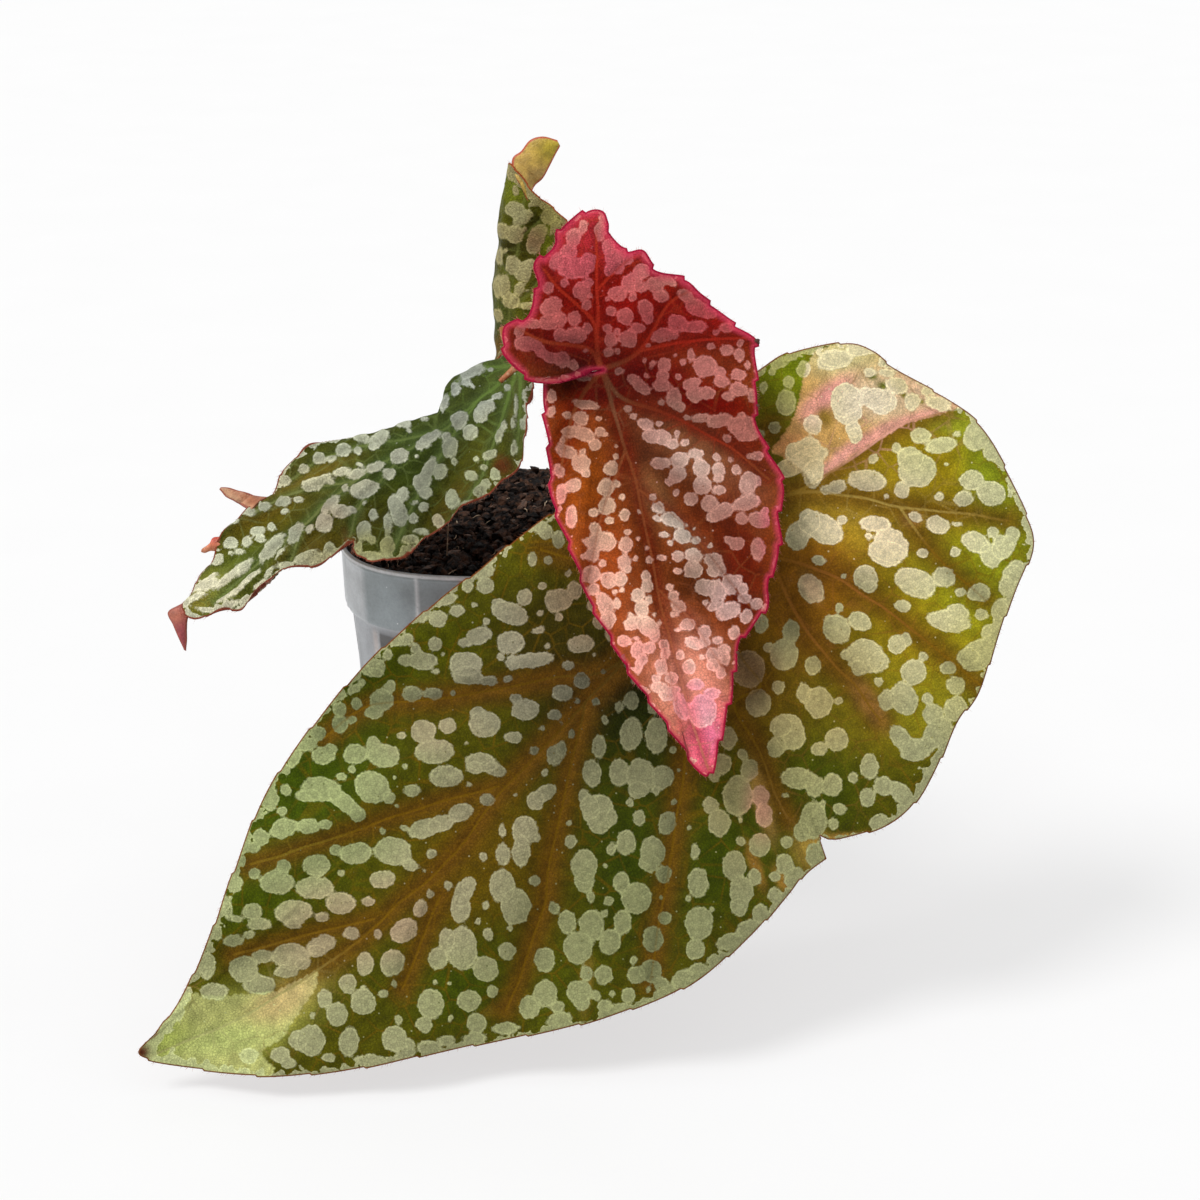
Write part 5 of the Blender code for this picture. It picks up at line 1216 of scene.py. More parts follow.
def flat_noise(places, grain, level):
    """Smooth noise over flat places."""
    return np.array([noise.noise((x / grain, y / grain, level)) for x, y, *_ in places.tolist()])


def solid_noise(points, grain):
    """Smooth noise through space."""
    return np.array([noise.noise((point / grain).tolist()) for point in points])


def margin(leaf):
    """The blade's margin, from the wide side's base round the tip to the narrow side's base."""
    splines = [[]]
    loop = leaf["wide"] + leaf["narrow"][-2::-1]
    for point in loop:
        if splines[-1] and splines[-1][-1] == point:
            splines.append([])
        splines[-1].append(point)
    dense = [smooth_path(spline) for spline in splines]
    rows = []
    for path in dense:
        length = np.linalg.norm(np.diff(path, axis=0), axis=1).sum()
        rows.append(spaced(path, max(2, round(length / MARGIN_STEP)))[:-1])
    return np.vstack([*rows, dense[-1][-1:]])


def toothed(leaf):
    """The margin with small teeth that point toward the tip."""
    edge = margin(leaf)
    size, count = leaf["teeth"]
    ahead = np.gradient(edge, axis=0)
    ahead /= np.linalg.norm(ahead, axis=1)[:, None]
    outward = np.column_stack([-ahead[:, 1], ahead[:, 0]])
    phase = (np.arange(len(edge)) / (len(edge) - 1) * count) % 1
    edge = edge + outward * (size * (phase - 0.5))[:, None]
    reach = np.linalg.norm(edge, axis=1)
    bearing = np.unwrap(np.arctan2(edge[:, 1], edge[:, 0]))
    step = LEAST_STEP * np.arange(len(edge))
    bearing = np.minimum.accumulate(bearing + step) - step
    return np.column_stack([reach * np.cos(bearing), reach * np.sin(bearing)])


def polar_place(edge, flat):
    """How far each flat point is along the margin and out toward it, both from 0 to 1."""
    bearings = np.unwrap(np.arctan2(edge[:, 1], edge[:, 0]))
    bearing = np.arctan2(flat[:, 1], flat[:, 0])
    bearing = bearing + 2 * math.pi * np.round((bearings.mean() - bearing) / (2 * math.pi))
    bearing = np.where(bearing > bearings[0] + 1e-6, bearing - 2 * math.pi, bearing)
    bearing = np.where(bearing < bearings[-1] - 1e-6, bearing + 2 * math.pi, bearing)
    inside = bearing <= bearings[0] + 1e-6
    around = np.interp(-bearing, -bearings, np.linspace(0, 1, len(edge)))
    reach = np.interp(-bearing, -bearings, np.linalg.norm(edge, axis=1))
    return around, np.linalg.norm(flat, axis=1) / reach, inside


def relief(leaf, flat, share, around):
    """Height of the blade: rippled margin, a domed middle and, on one leaf, a hanging side."""
    height = np.zeros(len(flat))
    for size, power, count, phase in leaf["waves"]:
        height += size * share**power * np.sin(2 * math.pi * (around * count + phase))
    height -= leaf["dome"][0] * flat[:, 0] ** 2 + leaf["dome"][1] * flat[:, 1] ** 2
    height += leaf.get("arch", 0) * np.sin(math.pi * np.clip(flat[:, 0] / ARCH_LENGTH, 0, 1))
    lifted, lowered = np.exp(-around / SINUS_REACH), np.exp((around - 1) / SINUS_REACH)
    height += leaf.get("sinus", 0) * (lifted - lowered) * share
    if "droop" in leaf:
        slope, line = leaf["droop"]
        start = np.interp(flat[:, 0], *zip(*line))
        past = np.clip(-flat[:, 1] - start + DROOP_EASE, 0, None)
        eased = past**2 / (4 * DROOP_EASE)
        height -= slope * np.where(past < 2 * DROOP_EASE, eased, past - DROOP_EASE)
    return height


def bend(points, heading, start, length, degrees):
    """Rolls what lies past start along heading, evenly over length."""
    direction = np.array([math.cos(math.radians(heading)), math.sin(math.radians(heading)), 0])
    past = points @ direction - start
    curve = math.radians(degrees) / length
    angle = curve * np.clip(past, 0, length)
    beyond = np.maximum(past - length, 0)
    height = points[:, 2]
    along = np.sin(angle) / curve + beyond * np.cos(angle) - height * np.sin(angle)
    up = (1 - np.cos(angle)) / curve + beyond * np.sin(angle) + height * np.cos(angle)
    moved = points + np.outer(along - past, direction)
    moved[:, 2] = up
    return np.where((past > 0)[:, None], moved, points)


def leaf_frame(leaf):
    """The leaf's axes as columns, and its origin in millimetres."""
    x = np.array(leaf["tip"], float)
    x /= np.linalg.norm(x)
    z = np.array(leaf["face"], float)
    z -= (z @ x) * x
    z /= np.linalg.norm(z)
    return np.column_stack([x, np.cross(z, x), z]), np.array(leaf["origin"], float)


def placed(leaf, flat, height, share, around):
    """Points of the shaped blade in the part's own frame."""
    near_base = np.exp(-around / SINUS_REACH)
    turn = np.radians(leaf.get("overlap", 0)) * near_base * np.clip(4 * share - 0.6, 0, 1)
    x = flat[:, 0] * np.cos(turn) - flat[:, 1] * np.sin(turn)
    y = flat[:, 0] * np.sin(turn) + flat[:, 1] * np.cos(turn)
    points = np.column_stack([x, y, height])
    for heading, start, length, degrees in leaf["bends"]:
        points = bend(points, heading, start, length, degrees)
    axes, origin = leaf_frame(leaf)
    return points @ axes.T + origin


def on_blade(leaf, edge, flat):
    """Where flat points lie on the shaped blade, halfway between its faces."""
    around, share, _ = polar_place(edge, flat)
    return placed(leaf, flat, relief(leaf, flat, share, around), share, around)


def margin_points(name):
    """The middle of the blade's edge, all round."""
    edge = toothed(LEAVES[name])
    return on_blade(LEAVES[name], edge, edge)


def distance_to_points(points, targets):
    """Flat distance from each point to the nearest target."""
    tree = KDTree(len(targets))
    for i, target in enumerate(targets.tolist()):
        tree.insert((*target, 0), i)
    tree.balance()
    return np.array([tree.find((x, y, 0))[2] for x, y in points.tolist()])


def boundary_of(edge):
    """The blade's outline as one loop: the margin, and a line from the stalk to each end."""
    spokes = []
    for end in (edge[0], edge[-1]):
        count = max(2, round(np.linalg.norm(end) / MARGIN_STEP))
        spokes.append(np.outer(np.linspace(0, 1, count + 1)[1:-1], end))
    return np.vstack([[(0.0, 0.0)], spokes[0], edge, spokes[1][::-1]])


def net_of(edge, spacing):
    """Flat points and triangles of a blade: its boundary first, then a close net inside it."""
    boundary = boundary_of(edge)
    low, high = edge.min(axis=0), edge.max(axis=0)
    across = np.arange(low[0], high[0], spacing)
    down = np.arange(low[1], high[1], spacing * math.sqrt(0.75))
    grid_x, grid_y = np.meshgrid(across, down)
    grid_x[1::2] += spacing / 2
    inner = np.column_stack([grid_x.ravel(), grid_y.ravel()])
    _, share, inside = polar_place(edge, inner)
    inner = inner[(share < 1) & inside]
    inner = inner[distance_to_points(inner, boundary) > 0.6 * min(spacing, 2 * MARGIN_STEP)]
    flat = np.vstack([boundary, inner])
    loop = list(range(len(boundary)))
    corners = [Vector(point) for point in flat.tolist()]
    triangles = np.array(delaunay_2d_cdt(corners, [], [loop], 1, 1e-6)[2])
    a, b, c = (flat[triangles[:, k]] for k in range(3))
    first, second = b - a, c - a
    turned = first[:, 0] * second[:, 1] - first[:, 1] * second[:, 0] < 0
    triangles[turned] = triangles[turned][:, ::-1]
    return flat, triangles, len(boundary)


def jitter(seen, size, strength, seed):
    """Picture points moved about a little by smooth noise."""
    shift = [noise.noise_vector((u / size, v / size, seed)) for u, v in seen.tolist()]
    return seen + strength * np.array(shift)[:, :2]


def in_ellipse(dx, dy, half_width, half_height, degrees):
    """Offsets from the middle of a turned ellipse, as shares of its half width and height."""
    angle = math.radians(degrees)
    along = (dx * math.cos(angle) + dy * math.sin(angle)) / half_width
    across = (dy * math.cos(angle) - dx * math.sin(angle)) / half_height
    return along, across


def spot_distances(seen, spots):
    """Picture distance to the nearest pale spot, below zero inside it, and to the second one."""
    total = np.zeros(len(seen))
    nearest = np.full(len(seen), FAR)
    second = np.full(len(seen), FAR)
    for u, v, half_width, half_height, *turn in spots:
        reach = max(half_width, half_height) + SPOT_REACH
        in_reach = (np.abs(seen[:, 0] - u) < reach) & (np.abs(seen[:, 1] - v) < reach)
        close = np.flatnonzero(in_reach)
        dx, dy = seen[close, 0] - u, seen[close, 1] - v
        along, across = in_ellipse(dx, dy, half_width, half_height, turn[0] if turn else 0)
        distance = (np.hypot(along, across) - 1) * min(half_width, half_height)
        total[close] += np.exp(-SPOT_BLEND * distance)
        second[close] = np.minimum(second[close], np.maximum(nearest[close], distance))
        nearest[close] = np.minimum(nearest[close], distance)
    blended = np.where(total > 0, -np.log(np.maximum(total, 1e-12)) / SPOT_BLEND, FAR)
    return blended, second


def line_distance(seen, lines):
    """Picture distance to the nearest of the lines."""
    nearest = np.full(len(seen), FAR)
    for line in lines:
        path = smooth_path(line, 6)
        for start, end in zip(path[:-1], path[1:]):
            run = end - start
            t = np.clip((seen - start) @ run / (run @ run), 0, 1)
            distance = np.linalg.norm(seen - start - t[:, None] * run, axis=1)
            nearest = np.minimum(nearest, distance)
    return nearest


def patch_weight(seen, patch):
    """How much of a soft patch each picture point takes."""
    u, v, half_width, half_height, degrees, _, strength = patch
    dx, dy = seen[:, 0] - u, seen[:, 1] - v
    along, across = in_ellipse(dx, dy, half_width, half_height, degrees)
    return strength * np.exp(-0.5 * (along**2 + across**2) ** 1.5)


def painted(seen, tint, gain=1.0, light=1.0):
    """A base colour with soft patches of others over it, times a gain and each point's light."""
    base, patches = tint
    colors = np.tile(linear(base), (len(seen), 1))
    for patch in patches:
        weight = patch_weight(seen, patch)[:, None]
        colors += weight * (linear(patch[5]) - colors)
    return np.clip(colors * np.array(gain) * np.reshape(light, (-1, 1)), 0, 1)


def weighed(seen, tint):
    """The same for one number."""
    base, patches = tint
    values = np.full(len(seen), float(base))
    for patch in patches:
        values += patch_weight(seen, patch) * (patch[5] - values)
    return values


def in_polygon(points, polygon):
    """Which points lie inside a polygon of the picture."""
    inside = np.zeros(len(points), bool)
    for (x1, y1), (x2, y2) in zip(polygon, np.roll(polygon, -1, axis=0)):
        if y1 == y2:
            continue
        crosses = (points[:, 1] > min(y1, y2)) & (points[:, 1] <= max(y1, y2))
        inside ^= crosses & (points[:, 0] < x1 + (points[:, 1] - y1) * (x2 - x1) / (y2 - y1))
    return inside


def hidden_spots(name, seen, cover):
    """Seeded spots where another leaf hides this one, clear of the listed ones."""
    draw = random.Random(name)
    low, high = seen.min(axis=0), seen.max(axis=0)
    tries = []
    for _ in range(HIDDEN_SPOT_TRIES):
        size = draw.uniform(*HIDDEN_SPOT_SIZES) * draw.uniform(0.5, 1)
        u, v = draw.uniform(low[0], high[0]), draw.uniform(low[1], high[1])
        tries.append((u, v, size, size * draw.uniform(0.7, 1.2), draw.uniform(-40, 40)))
    covered = in_polygon(np.array(tries)[:, :2], cover)
    taken = [(u, v, max(a, b)) for u, v, a, b, *_ in SPOTS[name]]
    found = []
    for spot, is_covered in zip(tries, covered):
        u, v, size = spot[:3]
        room = size + HIDDEN_SPOT_GAP
        if is_covered and all(math.hypot(u - x, v - y) > room + reach for x, y, reach in taken):
            taken.append((u, v, size))
            found.append(spot)
    return found


def spots_of(name, cover):
    """All pale spots of a leaf: the listed ones and the seeded ones that the cover hides."""
    spots = SPOTS[name] + CRISP_SPOTS.get(name, [])
    if name == HIDING_LEAF:
        return spots
    return spots + hidden_spots(name, in_picture(margin_points(name)), cover)


def swell(x, width):
    """From 0 at x = 0 up to 1 well past width."""
    return 1 - np.exp(-((x / width) ** 2))


def vein_distance(name, seen):
    """Picture distance to the nearest vein, taken as less near the stalk, where veins are thick."""
    stalk_end = VEINS[name][0][0]
    distance = line_distance(jitter(seen, *VEIN_WOBBLE), VEINS[name])
    from_stalk = np.linalg.norm(seen - stalk_end, axis=1)
    past = np.clip(from_stalk / (THICK_VEIN_REACH * np.ptp(seen[:, 1])), 0, 1)
    return distance * (THICK_VEIN + (1 - THICK_VEIN) * past)


def raised(leaf, side, flat, height, marks):
    """The height of one face: puffed up between sunk veins, with raised spots and a thin rim."""
    inner = swell(marks["rim"], RIM_CALM)
    rough = flat_noise(flat, ROUGH_GRAIN, side)
    fine = flat_noise(flat, FINE_GRAIN, side)
    puff = leaf["puff"] * (swell(marks["vein"], PUFF_WIDTH) - PUFF_SUNK)
    height = height + inner * (puff + ROUGH_HEIGHT * rough + FINE_HEIGHT * fine)
    slope = np.clip(marks["spot"] * BLISTER_SLOPE, -MOST_SLOPE, MOST_SLOPE)
    height += inner * leaf["blister"] / (1 + np.exp(slope))
    half = RIM_HALF + (BLADE_HALF - RIM_HALF) * swell(marks["rim"], RIM_ROUND)
    if side == 0:
        return height + (half - VEIN_DEPTH * np.exp(-((marks["vein"] / VEIN_WIDTH) ** 2)) * inner)
    vein = np.exp(-((marks["vein"] / UNDER_VEIN_WIDTH) ** 2))
    return height - (half + UNDER_VEIN_DEPTH * vein * inner)


def blade_colors(name, seen, wobbled, vein, light):
    """The colours of the ground, the pale spots and the lines at each point, with painted light and
    shade.
    """
    tint = TINTS[name]
    ground_gain, pale_gain = GAINS[name]
    # Painted shade in the furrows along the veins and painted light on the ridges, over each
    # point's painted light and shade
    depth, width = PAINTED_FURROW_SHADE[name]
    furrow_shaded = light * (1 - depth * (FURROW_SHADE_LEVEL - swell(vein, width)))
    ground = painted(wobbled, tint["ground"], ground_gain, furrow_shaded)
    halo_color, halo_width, halo_strength = tint["halo"]
    halo = halo_strength * np.exp(-((vein / halo_width) ** 2))[:, None]
    ground += halo * (linear(halo_color) - ground)
    pale = painted(wobbled, tint["pale"], pale_gain, furrow_shaded)
    for outline, zone_ground, zone_pale in ZONES.get(name, []):
        inside = in_polygon(wobbled, outline)[:, None]
        ground = np.where(inside, painted(wobbled, zone_ground), ground)
        pale = np.where(inside, painted(wobbled, zone_pale), pale)
    # The veins' lines take the painted light and shade too, within bounds
    line = painted(seen, tint["line"], LINE_GAIN, np.clip(light, *LINE_LIGHT))
    return {"ground": ground, "pale": pale, "line": line}


def blade_face(name, side, edge, net, rim_line, spots):
    """One face of a blade, 0 the upper and 1 the lower: its points, and what its material reads."""
    leaf, tint = LEAVES[name], TINTS[name]
    flat, _, boundary = net
    around, share, _ = polar_place(edge, flat)
    last_spoke = np.arange(boundary) > boundary - len(edge) // SPOKE_PART
    around[:boundary] = np.where(last_spoke, 1, around[:boundary])
    height = relief(leaf, flat, share, around)
    seen = in_picture(placed(leaf, flat, height, share, around))
    wobbled = jitter(jitter(seen, *COARSE_WOBBLE), *FINE_WOBBLE)
    rim = distance_to_points(flat, rim_line)
    spot, lap = spot_distances(wobbled, spots)
    band = weighed(wobbled, tint["band"]) + BAND_WOBBLE * (wobbled - seen)[:, 0]
    # Painted light and shade of each point; as the shade mark it also darkens the hem and the edge
    light = weighed(seen, PAINTED_LIGHT_AND_SHADE[name])
    marks = {
        "spot": np.minimum(spot, rim * FOCAL_PX / LEAF_DISTANCE - band),
        "lap": lap,
        "rim": rim,
        "vein": vein_distance(name, seen),
        "hem": rim / weighed(wobbled, tint.get("hem", (1.0, []))),
        "shade": LEAST_SHADE + (1 - LEAST_SHADE) * np.clip(light, 0, 1),
    }
    colors = blade_colors(name, seen, wobbled, marks["vein"], light)
    height = raised(leaf, side, flat, height, marks)
    return placed(leaf, flat, height, share, around), marks, colors


def blade_faces(nets):
    """Faces of both sides and of the thin wall between them, and the material of each."""
    (upper, top, boundary), (_, bottom, _) = nets
    under = len(upper)
    rim_loop = np.arange(boundary)
    after = np.roll(rim_loop, -1)
    walls = np.column_stack([rim_loop, after, after + under, rim_loop + under])
    faces = top.tolist() + (bottom[:, ::-1] + under).tolist() + walls.tolist()
    return faces, np.repeat([0, 1, 0], [len(top), len(bottom), len(walls)])


def blade_bake_map(edge, flats, under):
    """Both sides laid flat next to each other, inside the unit square."""
    size = np.ptp(edge, axis=0)
    scale = BAKE_SPAN / max(BAKE_TWO_WIDE * size[0], size[1])
    unit = (flats - edge.min(axis=0)) * scale + BAKE_MARGIN
    unit[under:, 0] += 0.5
    return unit


def make_blade(name, cover):
    """Both faces of a blade with sunk veins, raised spots and a thin edge, as one closed piece."""
    edge = toothed(LEAVES[name])
    nets = [net_of(edge, spacing) for spacing in (TOP_SPACING[name], UNDER_SPACING)]
    upper, _, boundary = nets[0]
    rim_line = spaced(np.vstack([upper[:boundary], upper[:1]]), 4 * boundary)
    spots = spots_of(name, cover)
    sides = [blade_face(name, side, edge, nets[side], rim_line, spots) for side in (0, 1)]
    points, marks, colors = zip(*sides)
    faces, indices = blade_faces(nets)
    materials = [leaf_material(name), underside_material(name)]
    obj = mesh_object(f"{name}_blade", np.vstack(points), faces, materials, indices)
    for key in marks[0]:
        write_numbers(obj, key, np.concatenate([rows[key] for rows in marks]))
    for key in colors[0]:
        write_colors(obj, key, np.vstack([rows[key] for rows in colors]))
    flats = np.vstack([flat for flat, _, _ in nets])
    write_vectors(obj, "flat", np.column_stack([flats, np.zeros(len(flats))]))
    write_bake_map(obj, blade_bake_map(edge, flats, len(upper)))
    join_to_part(obj, name)


class Shader:
    """A material built node by node. Sizes are in millimetres."""

    def __init__(self, name):
        self.material = bpy.data.materials.new(name)
        self.material.use_nodes = True
        self.tree = self.material.node_tree
        self.tree.nodes.clear()
        self.surface = self.add("ShaderNodeBsdfPrincipled")
        output = self.tree.nodes.new("ShaderNodeOutputMaterial")
        self.tree.links.new(self.surface.outputs["BSDF"], output.inputs["Surface"])
        self.place = None

    def add(self, kind, inputs=(), **settings):
        node = self.tree.nodes.new(kind)
        for key, value in settings.items():
            setattr(node, key, value)
        for key, value in dict(inputs).items():
            self.put(node.inputs[key], value)
        return node

    def put(self, socket, value):
        """Links a socket to another one, or sets it."""
        if isinstance(value, bpy.types.NodeSocket):
            self.tree.links.new(value, socket)
        else:
            socket.default_value = value

    def number(self, name):
        """A number that the piece holds for each of its points."""
        return self.add("ShaderNodeAttribute", attribute_name=name).outputs["Fac"]

    def color(self, name):
        """A colour that the piece holds for each of its points."""
        return self.add("ShaderNodeAttribute", attribute_name=name).outputs["Color"]

    def at(self, name=None):
        """Where a pattern is read: the part's own millimetres, or a flattened leaf's."""
        if self.place is None and name:
            self.place = self.add("ShaderNodeAttribute", attribute_name=name).outputs["Vector"]
        if self.place is None:
            local = self.add("ShaderNodeTexCoord").outputs["Object"]
            scaled = {0: local, "Scale": 1 / MM}
            node = self.add("ShaderNodeVectorMath", scaled, operation="SCALE")
            self.place = node.outputs["Vector"]
        return self.place

    def noise(self, size, detail=3.0, low=0.0, high=1.0):
        """Soft clouds of a size that go from low to high."""
        inputs = {"Vector": self.at(), "Scale": 1 / size, "Detail": detail}
        node = self.add("ShaderNodeTexNoise", inputs)
        return self.step(node.outputs["Fac"], 0.25, 0.75, low, high)

    def cells(self, size, feature, out="Distance", seed=0.0):
        """Scattered cells of a size; a seed shifts them."""
        place = self.at()
        if seed:
            shifted = {0: place, 1: (seed, seed, seed)}
            place = self.add("ShaderNodeVectorMath", shifted).outputs["Vector"]
        inputs = {"Vector": place, "Scale": 1 / size}
        return self.add("ShaderNodeTexVoronoi", inputs, feature=feature).outputs[out]

    def step(self, value, start, end, low=0.0, high=1.0):
        """From low to high as value goes from start to end."""
        return self.add(
            "ShaderNodeMapRange",
            {"Value": value, "From Min": start, "From Max": end, "To Min": low, "To Max": high},
            interpolation_type="SMOOTHSTEP",
        ).outputs["Result"]

    def net(self, size, start, end, strength=1.0):
        """Lines between cells of a size, from strength on the line to none past end."""
        return self.step(self.cells(size, "DISTANCE_TO_EDGE"), start, end, strength, 0.0)

    def dots(self, size, start, end, strength=1.0, seed=0.0):
        """A dot in each cell, from strength in its middle to none past end."""
        return self.step(self.cells(size, "F1", seed=seed), start, end, strength, 0.0)

    def math(self, operation, *values):
        node = self.add("ShaderNodeMath", operation=operation)
        for socket, value in zip(node.inputs, values):
            self.put(socket, value)
        return node.outputs["Value"]

    def times(self, *values):
        result = values[0]
        for value in values[1:]:
            result = self.math("MULTIPLY", result, value)
        return result

    def mix(self, share, first, second, blend="MIX"):
        """Colours mixed: all of second where share is 1."""
        node = self.add("ShaderNodeMix", data_type="RGBA", blend_type=blend)
        self.put(node.inputs[0], share)
        for index, color in ((6, first), (7, second)):
            is_socket = isinstance(color, bpy.types.NodeSocket)
            self.put(node.inputs[index], color if is_socket else (*linear(color), 1.0))
        return node.outputs[2]

    def shaded(self, color, amount):
        """A colour made lighter or darker by a number that varies over the surface."""
        gray = self.add("ShaderNodeCombineColor", {0: amount, 1: amount, 2: amount})
        return self.mix(1.0, color, gray.outputs["Color"], "MULTIPLY")

    def mottled(self, color):
        """A colour of its own for a piece, in soft clouds so that it is never one flat tint."""
        return self.mix(self.noise(2.6, 3.0), color, brighter(color, 1.1))

    def finish(self, color, roughness, height=None, depth=0.1, **fixed):
        """The material with these on its surface; height is a bump of this depth."""
        self.put(self.surface.inputs["Base Color"], color)
        self.put(self.surface.inputs["Roughness"], roughness)
        for key, value in fixed.items():
            self.put(self.surface.inputs[key.replace("_", " ")], value)
        if height is not None:
            inputs = {"Height": height, "Strength": 1.0, "Distance": depth * MM}
            bump = self.add("ShaderNodeBump", inputs)
            self.put(self.surface.inputs["Normal"], bump.outputs["Normal"])
        return self.material


def brighter(color, gain):
    return tuple(min(255, value * gain) for value in color)


def leaf_ground(shader, spot, line, mesh):
    """Mottled ground with a coarse and a fine net, and with small pale dots away from spots."""
    ground = shader.shaded(shader.color("ground"), shader.noise(3.4, 4.0, 0.74, 1.2))
    ground = shader.shaded(ground, shader.noise(0.5, 3.0, 0.86, 1.14))
    net = shader.net(NET_SIZE, 0.015, 0.06)
    ground = shader.mix(shader.times(net, shader.noise(9.0, 2.0, 0.05, 0.5)), ground, line)
    ground = shader.shaded(ground, shader.step(mesh, 0.0, 1.0, 1.03, 0.8))
    chosen = shader.step(shader.cells(DOT_SIZE, "F1", "Color"), 0.5, 0.52)
    clear = shader.step(spot, 2.0, 5.0)
    dots = shader.times(shader.dots(DOT_SIZE, 0.08, 0.13), chosen, clear, 0.8)
    return shader.mix(dots, ground, shader.color("pale"))


def leaf_spots(shader, spot, mesh):
    """Mottled pale spots with dark pores, each with a lighter ring just inside its edge."""
    inner = shader.shaded(shader.color("pale"), shader.noise(1.6, 4.0, 0.8, 1.12))
    inner = shader.shaded(inner, shader.step(mesh, 0.0, 1.0, 1.05, 0.84))
    pore = shader.dots(PORE_SIZE, 0.06, 0.1, seed=11.0)
    inner = shader.mix(shader.times(pore, 0.55), inner, shader.color("ground"))
    from_lap = shader.math("ABSOLUTE", shader.number("lap"))
    from_ring = shader.math("ABSOLUTE", shader.math("ADD", spot, 0.9))
    lap_ring = shader.step(from_lap, 0.3, 1.0, 0.7, 0.0)
    own_ring = shader.step(from_ring, 0.3, 1.1, 1.0, 0.0)
    ring = shader.math("MAXIMUM", own_ring, lap_ring)
    return shader.shaded(inner, shader.step(ring, 0.0, 1.0, 0.97, 1.22))


def leaf_rim(shader, color, tint):
    """The coloured hem, where a leaf has one, and the thin edge, both darkened by the leaf's
    painted shade.
    """
    shade = shader.number("shade")
    if "hem" in tint:
        hem = shader.shaded(shader.mottled(tint["hem_color"]), shade)
        color = shader.mix(shader.step(shader.number("hem"), 0.1, 1.2, 0.82, 0.0), color, hem)
    width = tint["rim_width"]
    edge_mask = shader.step(shader.number("rim"), width * 0.7, width * 1.6, 1.0, 0.0)
    return shader.mix(edge_mask, color, shader.shaded(shader.mottled(tint["rim"]), shade))


def leaf_material(name):
    """The upper face: mottled ground, veins, a fine net, pale spots with crisp edges and a rim."""
    tint = TINTS[name]
    shader = Shader(f"{name} upper face")
    shader.at("flat")
    spot, line = shader.number("spot"), shader.color("line")
    mesh = shader.net(MESH_SIZE, 0.02, 0.14)
    ground = leaf_ground(shader, spot, line, mesh)
    ragged = shader.math("ADD", spot, shader.noise(0.9, 2.0, -0.6, 0.6))
    spot_mask = shader.step(ragged, -0.8, 0.7, 1.0, 0.0)
    color = shader.mix(spot_mask, ground, leaf_spots(shader, spot, mesh))
    line_mask = shader.step(shader.number("vein"), 0.4, 1.9, 1.0, 0.0)
    strength = shader.step(spot, -1.5, 1.0, *tint["vein_strength"])
    color = shader.mix(shader.times(line_mask, strength), color, line)
    color = leaf_rim(shader, color, tint)
    height = shader.math("ADD", shader.noise(0.7, 3.0), shader.times(mesh, -0.5))
    rough = shader.noise(2.0, 3.0, 0.36, 0.56)
    return shader.finish(color, rough, height, 0.2, Specular_IOR_Level=0.05)


def underside_material(name):
    """The lower face: a browner ground with pale veins; the spots show through a little."""
    tint = TINTS[name]
    shader = Shader(f"{name} lower face")
    shader.at("flat")
    ground = shader.shaded(shader.mottled(tint["under"]), shader.noise(4.0, 4.0, 0.75, 1.2))
    light = tuple(value * 0.5 + 100 for value in tint["under"])
    faint = shader.step(shader.number("spot"), -2.5, 2.5, 0.2, 0.0)
    color = shader.mix(faint, ground, shader.color("pale"))
    lines = shader.math("MAXIMUM", shader.net(NET_SIZE, 0.02, 0.08, 0.22),
                        shader.net(UNDER_MESH_SIZE, 0.02, 0.12, 0.1))
    color = shader.mix(lines, color, light)
    color = shader.mix(shader.step(shader.number("vein"), 1.0, 3.4, 0.7, 0.0), color, light)
    rim_mask = shader.step(shader.number("rim"), 0.3, 0.9, 0.8, 0.0)
    color = shader.mix(rim_mask, color, tint["rim"])
    return shader.finish(color, shader.noise(1.5, 3.0, 0.5, 0.7), shader.noise(0.8, 4.0), 0.14)


def painted_material(name, rim_color=None):
    """A mottled surface that takes its ground colour from the piece."""
    shader = Shader(name)
    color = shader.shaded(shader.color("ground"), shader.noise(2.2, 4.0, 0.76, 1.2))
    color = shader.shaded(color, shader.noise(0.45, 3.0, 0.88, 1.12))
    if rim_color:
        rim_mask = shader.step(shader.number("rim"), 0.25, 0.7, 0.9, 0.0)
        color = shader.mix(rim_mask, color, rim_color)
    return shader.finish(color, shader.noise(1.5, 3.0, 0.42, 0.62), shader.noise(0.6, 4.0), 0.1)


def curl_body(left, right):
    """A thin bulged strip between two lines, and how far each point is from its long edges."""
    across = right - left
    width = np.linalg.norm(across, axis=1)
    out = np.cross(across, np.gradient((left + right) / 2, axis=0))
    out /= np.linalg.norm(out, axis=1)[:, None]
    side = np.linspace(0, 1, CURL_ACROSS + 1)
    rings, rims = [], []
    for start, step, up, wide in zip(left, across, out, width):
        bulge = 4 * side * (1 - side) * CURL_BULGE * wide
        line = start + np.outer(side, step) + np.outer(bulge, up)
        rings.append(np.vstack([line + up * CURL_HALF, line[::-1] - up * CURL_HALF]))
        rim = wide * np.minimum(side, 1 - side)
        rims.append(np.concatenate([rim, rim[::-1]]))
    points, faces = lofted(rings)
    rims = np.concatenate([*rims, [0, 0]])
    ripple = CURL_RIPPLE * solid_noise(points, CURL_GRAIN) * np.clip(rims, 0, 1)
    return points + ripple[:, None], [face[::-1] for face in faces], rims


